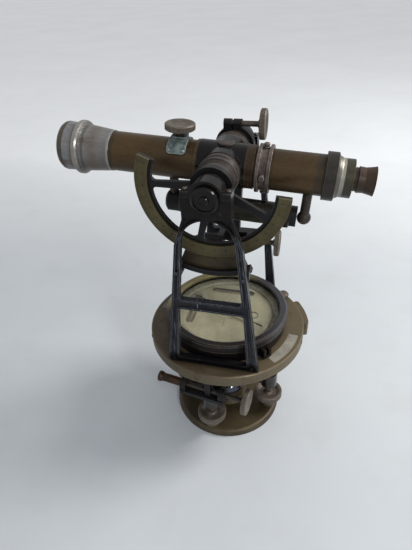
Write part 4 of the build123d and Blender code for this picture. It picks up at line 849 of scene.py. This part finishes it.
vial_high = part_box("plate_vials")[1]
vial_radius = 3.4 * mm
vial_centre = vial_high.z - vial_radius
vial_across = 35.5 * mm
cheek_length = 48 * mm
cheek_foot = 4.4 * mm
cheek_top = 5.2 * mm
hug_radius = vial_radius + 0.1 * mm
cheek_angles = (42.0, 25.0, 8.0, -8.0, -25.0, -40.0)
for label, turned in (("far", 0.0), ("left", pi / 2)):
    cheeks = bmesh.new()
    along_vial = Matrix.Rotation(turned, 4, "Z") @ Matrix.Translation((0, vial_across, vial_centre))
    for flank in (-1, 1):
        hug = [
            (flank * hug_radius * cos(radians(angle)), hug_radius * sin(radians(angle)))
            for angle in cheek_angles
        ]
        foot = flank * cheek_foot
        outer = [(foot, hug[-1][1]), (foot, 1.6 * mm), (flank * cheek_top, hug[0][1])]
        profile = hug + outer
        ends = [
            [cheeks.verts.new(along_vial @ Vector((x, across, up))) for across, up in profile]
            for x in (-cheek_length / 2, cheek_length / 2)
        ]
        for corners in joined(*ends):
            cheeks.faces.new(corners)
        cheeks.faces.new(ends[0][::-1])
        cheeks.faces.new(ends[1])
    add_piece(f"vial_cheeks_{label}", cheeks, Matrix.Identity(4), "alidade", vial_brass)

window_azimuths = (-24.0, 156.0)
limb_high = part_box("limb_scale")[1]
limb_plane = Matrix.Translation((0, 0, limb_high.z))
divided_circle(
    "limb_graduations", "limb", limb_plane, 0.0, 359.0, 1.0,
    [
        (10.0, limb_high.x - 7.2 * mm, limb_high.x - 2.2 * mm, 0.2 * mm),
        (5.0, limb_high.x - 7.2 * mm, limb_high.x - 3.2 * mm, 0.16 * mm),
        (1.0, limb_high.x - 7.2 * mm, limb_high.x - 4.4 * mm, 0.12 * mm),
    ],
    (10.0, limb_high.x - 1.6 * mm, 1.8 * mm, 180.0),
)
vernier_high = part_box("vernier_scales")[1]
vernier_plane = Matrix.Translation((0, 0, vernier_high.z))
vernier_span = 30.0
for label, bearing in zip(("front", "far"), window_azimuths):
    start = bearing - vernier_span / 2
    divided_circle(
        f"vernier_lines_{label}", "alidade", vernier_plane, start, vernier_span, 1.0,
        [(5.0, 65.6 * mm, 68.1 * mm, 0.16 * mm), (1.0, 66.6 * mm, 68.1 * mm, 0.12 * mm)],
    )

# ==== pieces on the plate ====

plate_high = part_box("vernier_plate")[1]
plate_top = plate_high.z
for k, bearing in enumerate((-9.0, 81.0, 118.0, 205.0)):
    out = Vector((cos(radians(bearing)), sin(radians(bearing)), 0))
    point = out * plate_high.x + Vector((0, 0, plate_top - 5 * mm))
    seat = point - out * 0.4 * mm
    screw(f"rim_screw_{k + 1}", seat, out, 2.0 * mm, "alidade", plate_bronze)

# ==== pieces on the standards ====

flanks = (("front", -1), ("far", 1))
ends = (("left", -1), ("right", 1))
cap_flange_top = trunnion_height + 4.7 * mm
cap_screw_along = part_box("bearing_caps")[1].x - 2.7 * mm
cap_screw_across = 62.7 * mm
for flank, y in flanks:
    for end, x in ends:
        seat = Vector((x * cap_screw_along, y * cap_screw_across, cap_flange_top))
        screw(
            f"cap_screw_{flank}_{end}", seat, (0, 0, 1), 1.9 * mm, "alidade", tarnish,
            turn=0.5 * x,
        )
foot_screw_height = plate_top + 4.0 * mm
for flank, y in flanks:
    for end, x in ends:
        seat = Vector((x * 36.8 * mm, y * 67 * mm, foot_screw_height))
        screw(
            f"foot_screw_{flank}_{end}", seat, (0, y, 0), 1.5 * mm, "alidade", standard_black, turn=0.4 * x
        )
vernier_screw_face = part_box("front_standard")[0].y + 1.3 * mm
for end, x in ends:
    seat = Vector((x * 28.0 * mm, vernier_screw_face, 222.0 * mm))
    screw(f"vernier_screw_{end}", seat, (0, -1, 0), 1.6 * mm, "alidade", standard_black)

# ==== pieces on the telescope ====

sleeve_top = 18.3  # millimetres above the axis
plug = lathe(
    [
        (0, -1.2 * mm), (7.4 * mm, -1.2 * mm), (7.4 * mm, 0.5 * mm), (6.9 * mm, 0.9 * mm),
        (5.6 * mm, 0.9 * mm), (5.2 * mm, 0.55 * mm), (0, 0.55 * mm),
    ],
    48,
)
plug_place = scope @ Matrix.Translation((0.4 * mm, 0, sleeve_top * mm))
add_piece("sleeve_plug", plug, plug_place, "telescope", plug_brown)

collar_middle = 33.75  # station of the collar, in millimetres
collar_radius = 17.8  # seat of its screws, in millimetres
for label, angle in (("top", 0.0), ("front", 90.0), ("bottom", 180.0), ("far", 270.0)):
    out = Vector((0, -sin(radians(angle)), cos(radians(angle))))
    turned = scope.to_3x3() @ out
    capstan = lathe(
        [
            (0, -0.6 * mm), (2.5 * mm, -0.6 * mm), (2.5 * mm, 0.8 * mm), (1.9 * mm, 1.1 * mm),
            (1.9 * mm, 1.8 * mm), (2.5 * mm, 2.1 * mm), (2.5 * mm, 3.4 * mm), (2.0 * mm, 3.9 * mm),
            (0, 4.0 * mm),
        ],
        28,
    )
    seat = facing(scope @ (Vector((collar_middle * mm, 0, 0)) + out * collar_radius * mm), turned)
    add_piece(f"reticle_screw_{label}", capstan, seat, "telescope", reticle_grey)

mount_radius = 18.6  # seat of the focus mount's screws, in millimetres
mount_screw_lean = 50.0
for k, (along, flank) in enumerate(((-45.0, -1), (-32.4, -1), (-45.0, 1), (-32.4, 1))):
    lean = radians(flank * mount_screw_lean)
    out = Vector((0, sin(lean), cos(lean)))
    seat = scope @ (Vector((along * mm, 0, 0)) + out * mount_radius * mm)
    way = scope.to_3x3() @ out
    screw(f"mount_screw_{k + 1}", seat, way, 1.3 * mm, "telescope", verdigris, 0.9 * k)

lens = lathe([(0, -0.4 * mm), (3.3 * mm, 0), (3.3 * mm, 1.2 * mm), (0, 1.9 * mm)], 32)
eye_point = on_scope(114.2, 0, 0)
add_piece("eye_lens", lens, facing(eye_point, scope_way), "eyepiece", glass)


def bubble(name, place, length, radius, body):
    """Air in a level glass: a long drop with rounded ends."""
    stations = 14
    outline = [(0, -length / 2)]
    for k in range(1, stations):
        share = -1 + 2 * k / stations
        outline.append((radius * (1 - abs(share) ** 3) ** 0.5, share * length / 2))
    outline.append((0, length / 2))
    add_piece(name, lathe(outline, 20), place, body, bubble_air)


level_middle = 8.5  # station of the level's middle, in millimetres
bubble("level_bubble", facing(on_scope(level_middle, 0, -35.2), scope_way), 22 * mm, 2.2 * mm, "telescope")
vial_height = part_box("plate_vials")[1].z - 1.3 * mm
bubble("plate_bubble_far", facing((0, vial_across, vial_height), (1, 0, 0)), 13 * mm, 1.1 * mm, "alidade")
bubble("plate_bubble_left", facing((-vial_across, 0, vial_height), (0, 1, 0)), 13 * mm, 1.1 * mm, "alidade")

# ---- divisions of the vertical arc and its vernier, read from the front ----

arc_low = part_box("arc_scale")[0]
arc_face = (
    Matrix.Translation((0, arc_low.y, trunnion_height))
    @ Matrix.Rotation(tilt, 4, "Y")
    @ Matrix.Rotation(pi / 2, 4, "X")
)
arc_radius = 61.3 * mm
divided_circle(
    "arc_graduations", "telescope", arc_face, 165.0, 190.0, 1.0,
    [
        (10.0, arc_radius - 5.0 * mm, arc_radius - 0.6 * mm, 0.2 * mm),
        (5.0, arc_radius - 4.0 * mm, arc_radius - 0.6 * mm, 0.16 * mm),
        (1.0, arc_radius - 2.8 * mm, arc_radius - 0.6 * mm, 0.12 * mm),
    ],
    (10.0, arc_radius - 6.8 * mm, 2.2 * mm, 95.0),
)
reading_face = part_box("vertical_vernier")[0].y
reading = Matrix.Translation((0, reading_face, trunnion_height)) @ Matrix.Rotation(pi / 2, 4, "X")
divided_circle(
    "vertical_vernier_lines", "alidade", reading, 255.0, 30.0, 1.0,
    [
        (5.0, arc_radius + 0.9 * mm, arc_radius + 4.2 * mm, 0.16 * mm),
        (1.0, arc_radius + 0.9 * mm, arc_radius + 2.9 * mm, 0.12 * mm),
    ],
)

# ==== floor and light ====


def make_floor():
    """Pale floor out to the horizon, paler far behind the object where the camera sees it."""
    half = 60.0
    mesh = bpy.data.meshes.new("floor")
    corners = [(-half, -half, 0), (half, -half, 0), (half, half, 0), (-half, half, 0)]
    mesh.from_pydata(corners, [], [(0, 1, 2, 3)])
    floor = bpy.data.objects.new("floor", mesh)
    bpy.context.scene.collection.objects.link(floor)
    finish = Finish("pale_floor")
    tone = finish.noise(3.0, detail=3.0)
    marks = finish.noise(14.0, detail=7.0, roughness=0.7, shift=(0.4, 0.2, 0.0))
    plain = finish.mix(finish.spread(tone, 0.3, 0.7), rgb(196, 200, 203), rgb(187, 191, 195))
    marked = finish.mix(finish.spread(marks, 0.5, 0.75, 0.0, 0.25), plain, rgb(172, 174, 174))
    finish.feed(finish.shader.inputs["Base Color"], marked)
    finish.shader.inputs["Roughness"].default_value = 0.8
    back = finish.spread(finish.along(origin, Vector((-0.14, 0.99, 0))), 0.25, 0.8, 0.0, 0.3)
    path = finish.node("ShaderNodeLightPath")
    finish.shader.inputs["Emission Color"].default_value = rgb(252, 250, 246)
    glow = finish.math("MULTIPLY", back, path.outputs["Is Camera Ray"])
    finish.feed(finish.shader.inputs["Emission Strength"], glow)
    mesh.materials.append(finish.material)


def make_lamp(name, place, size, power, colour):
    """Soft round lamp that looks at the middle of the object."""
    lamp = bpy.data.objects.new(name, bpy.data.lights.new(name, "AREA"))
    lamp.data.shape = "DISK"
    lamp.data.size = size
    lamp.data.energy = power
    lamp.data.color = colour
    lamp.location = place
    lamp.rotation_euler = (lamp_aim - Vector(place)).to_track_quat("-Z", "Y").to_euler()
    bpy.context.scene.collection.objects.link(lamp)


def make_world():
    """Soft neutral light, with a paler world where the camera sees it, straight or through glass."""
    world = bpy.data.worlds.new("studio")
    world.use_nodes = True
    bpy.context.scene.world = world
    tree = world.node_tree
    soft = tree.nodes["Background"]
    soft.inputs["Color"].default_value = (0.93, 0.96, 1.0, 1.0)
    soft.inputs["Strength"].default_value = 0.55
    seen = tree.nodes.new("ShaderNodeBackground")
    seen.inputs["Color"].default_value = (0.93, 0.94, 0.95, 1.0)
    seen.inputs["Strength"].default_value = 0.8
    path = tree.nodes.new("ShaderNodeLightPath")
    either = tree.nodes.new("ShaderNodeMath")
    either.operation = "MAXIMUM"
    tree.links.new(path.outputs["Is Camera Ray"], either.inputs[0])
    tree.links.new(path.outputs["Is Transmission Ray"], either.inputs[1])
    mixed = tree.nodes.new("ShaderNodeMixShader")
    tree.links.new(either.outputs[0], mixed.inputs[0])
    tree.links.new(soft.outputs[0], mixed.inputs[1])
    tree.links.new(seen.outputs[0], mixed.inputs[2])
    tree.links.new(mixed.outputs[0], tree.nodes["World Output"].inputs["Surface"])


lamp_aim = Vector((0, 0, 0.15))
make_floor()
make_lamp("key", (1.1, 0.5, 1.2), 0.7, 22.0, (1.0, 0.98, 0.95))
make_lamp("fill", (0.85, -1.0, 0.95), 0.3, 7.0, (0.96, 0.98, 1.0))
make_world()
bpy.context.scene.view_settings.view_transform = "Standard"
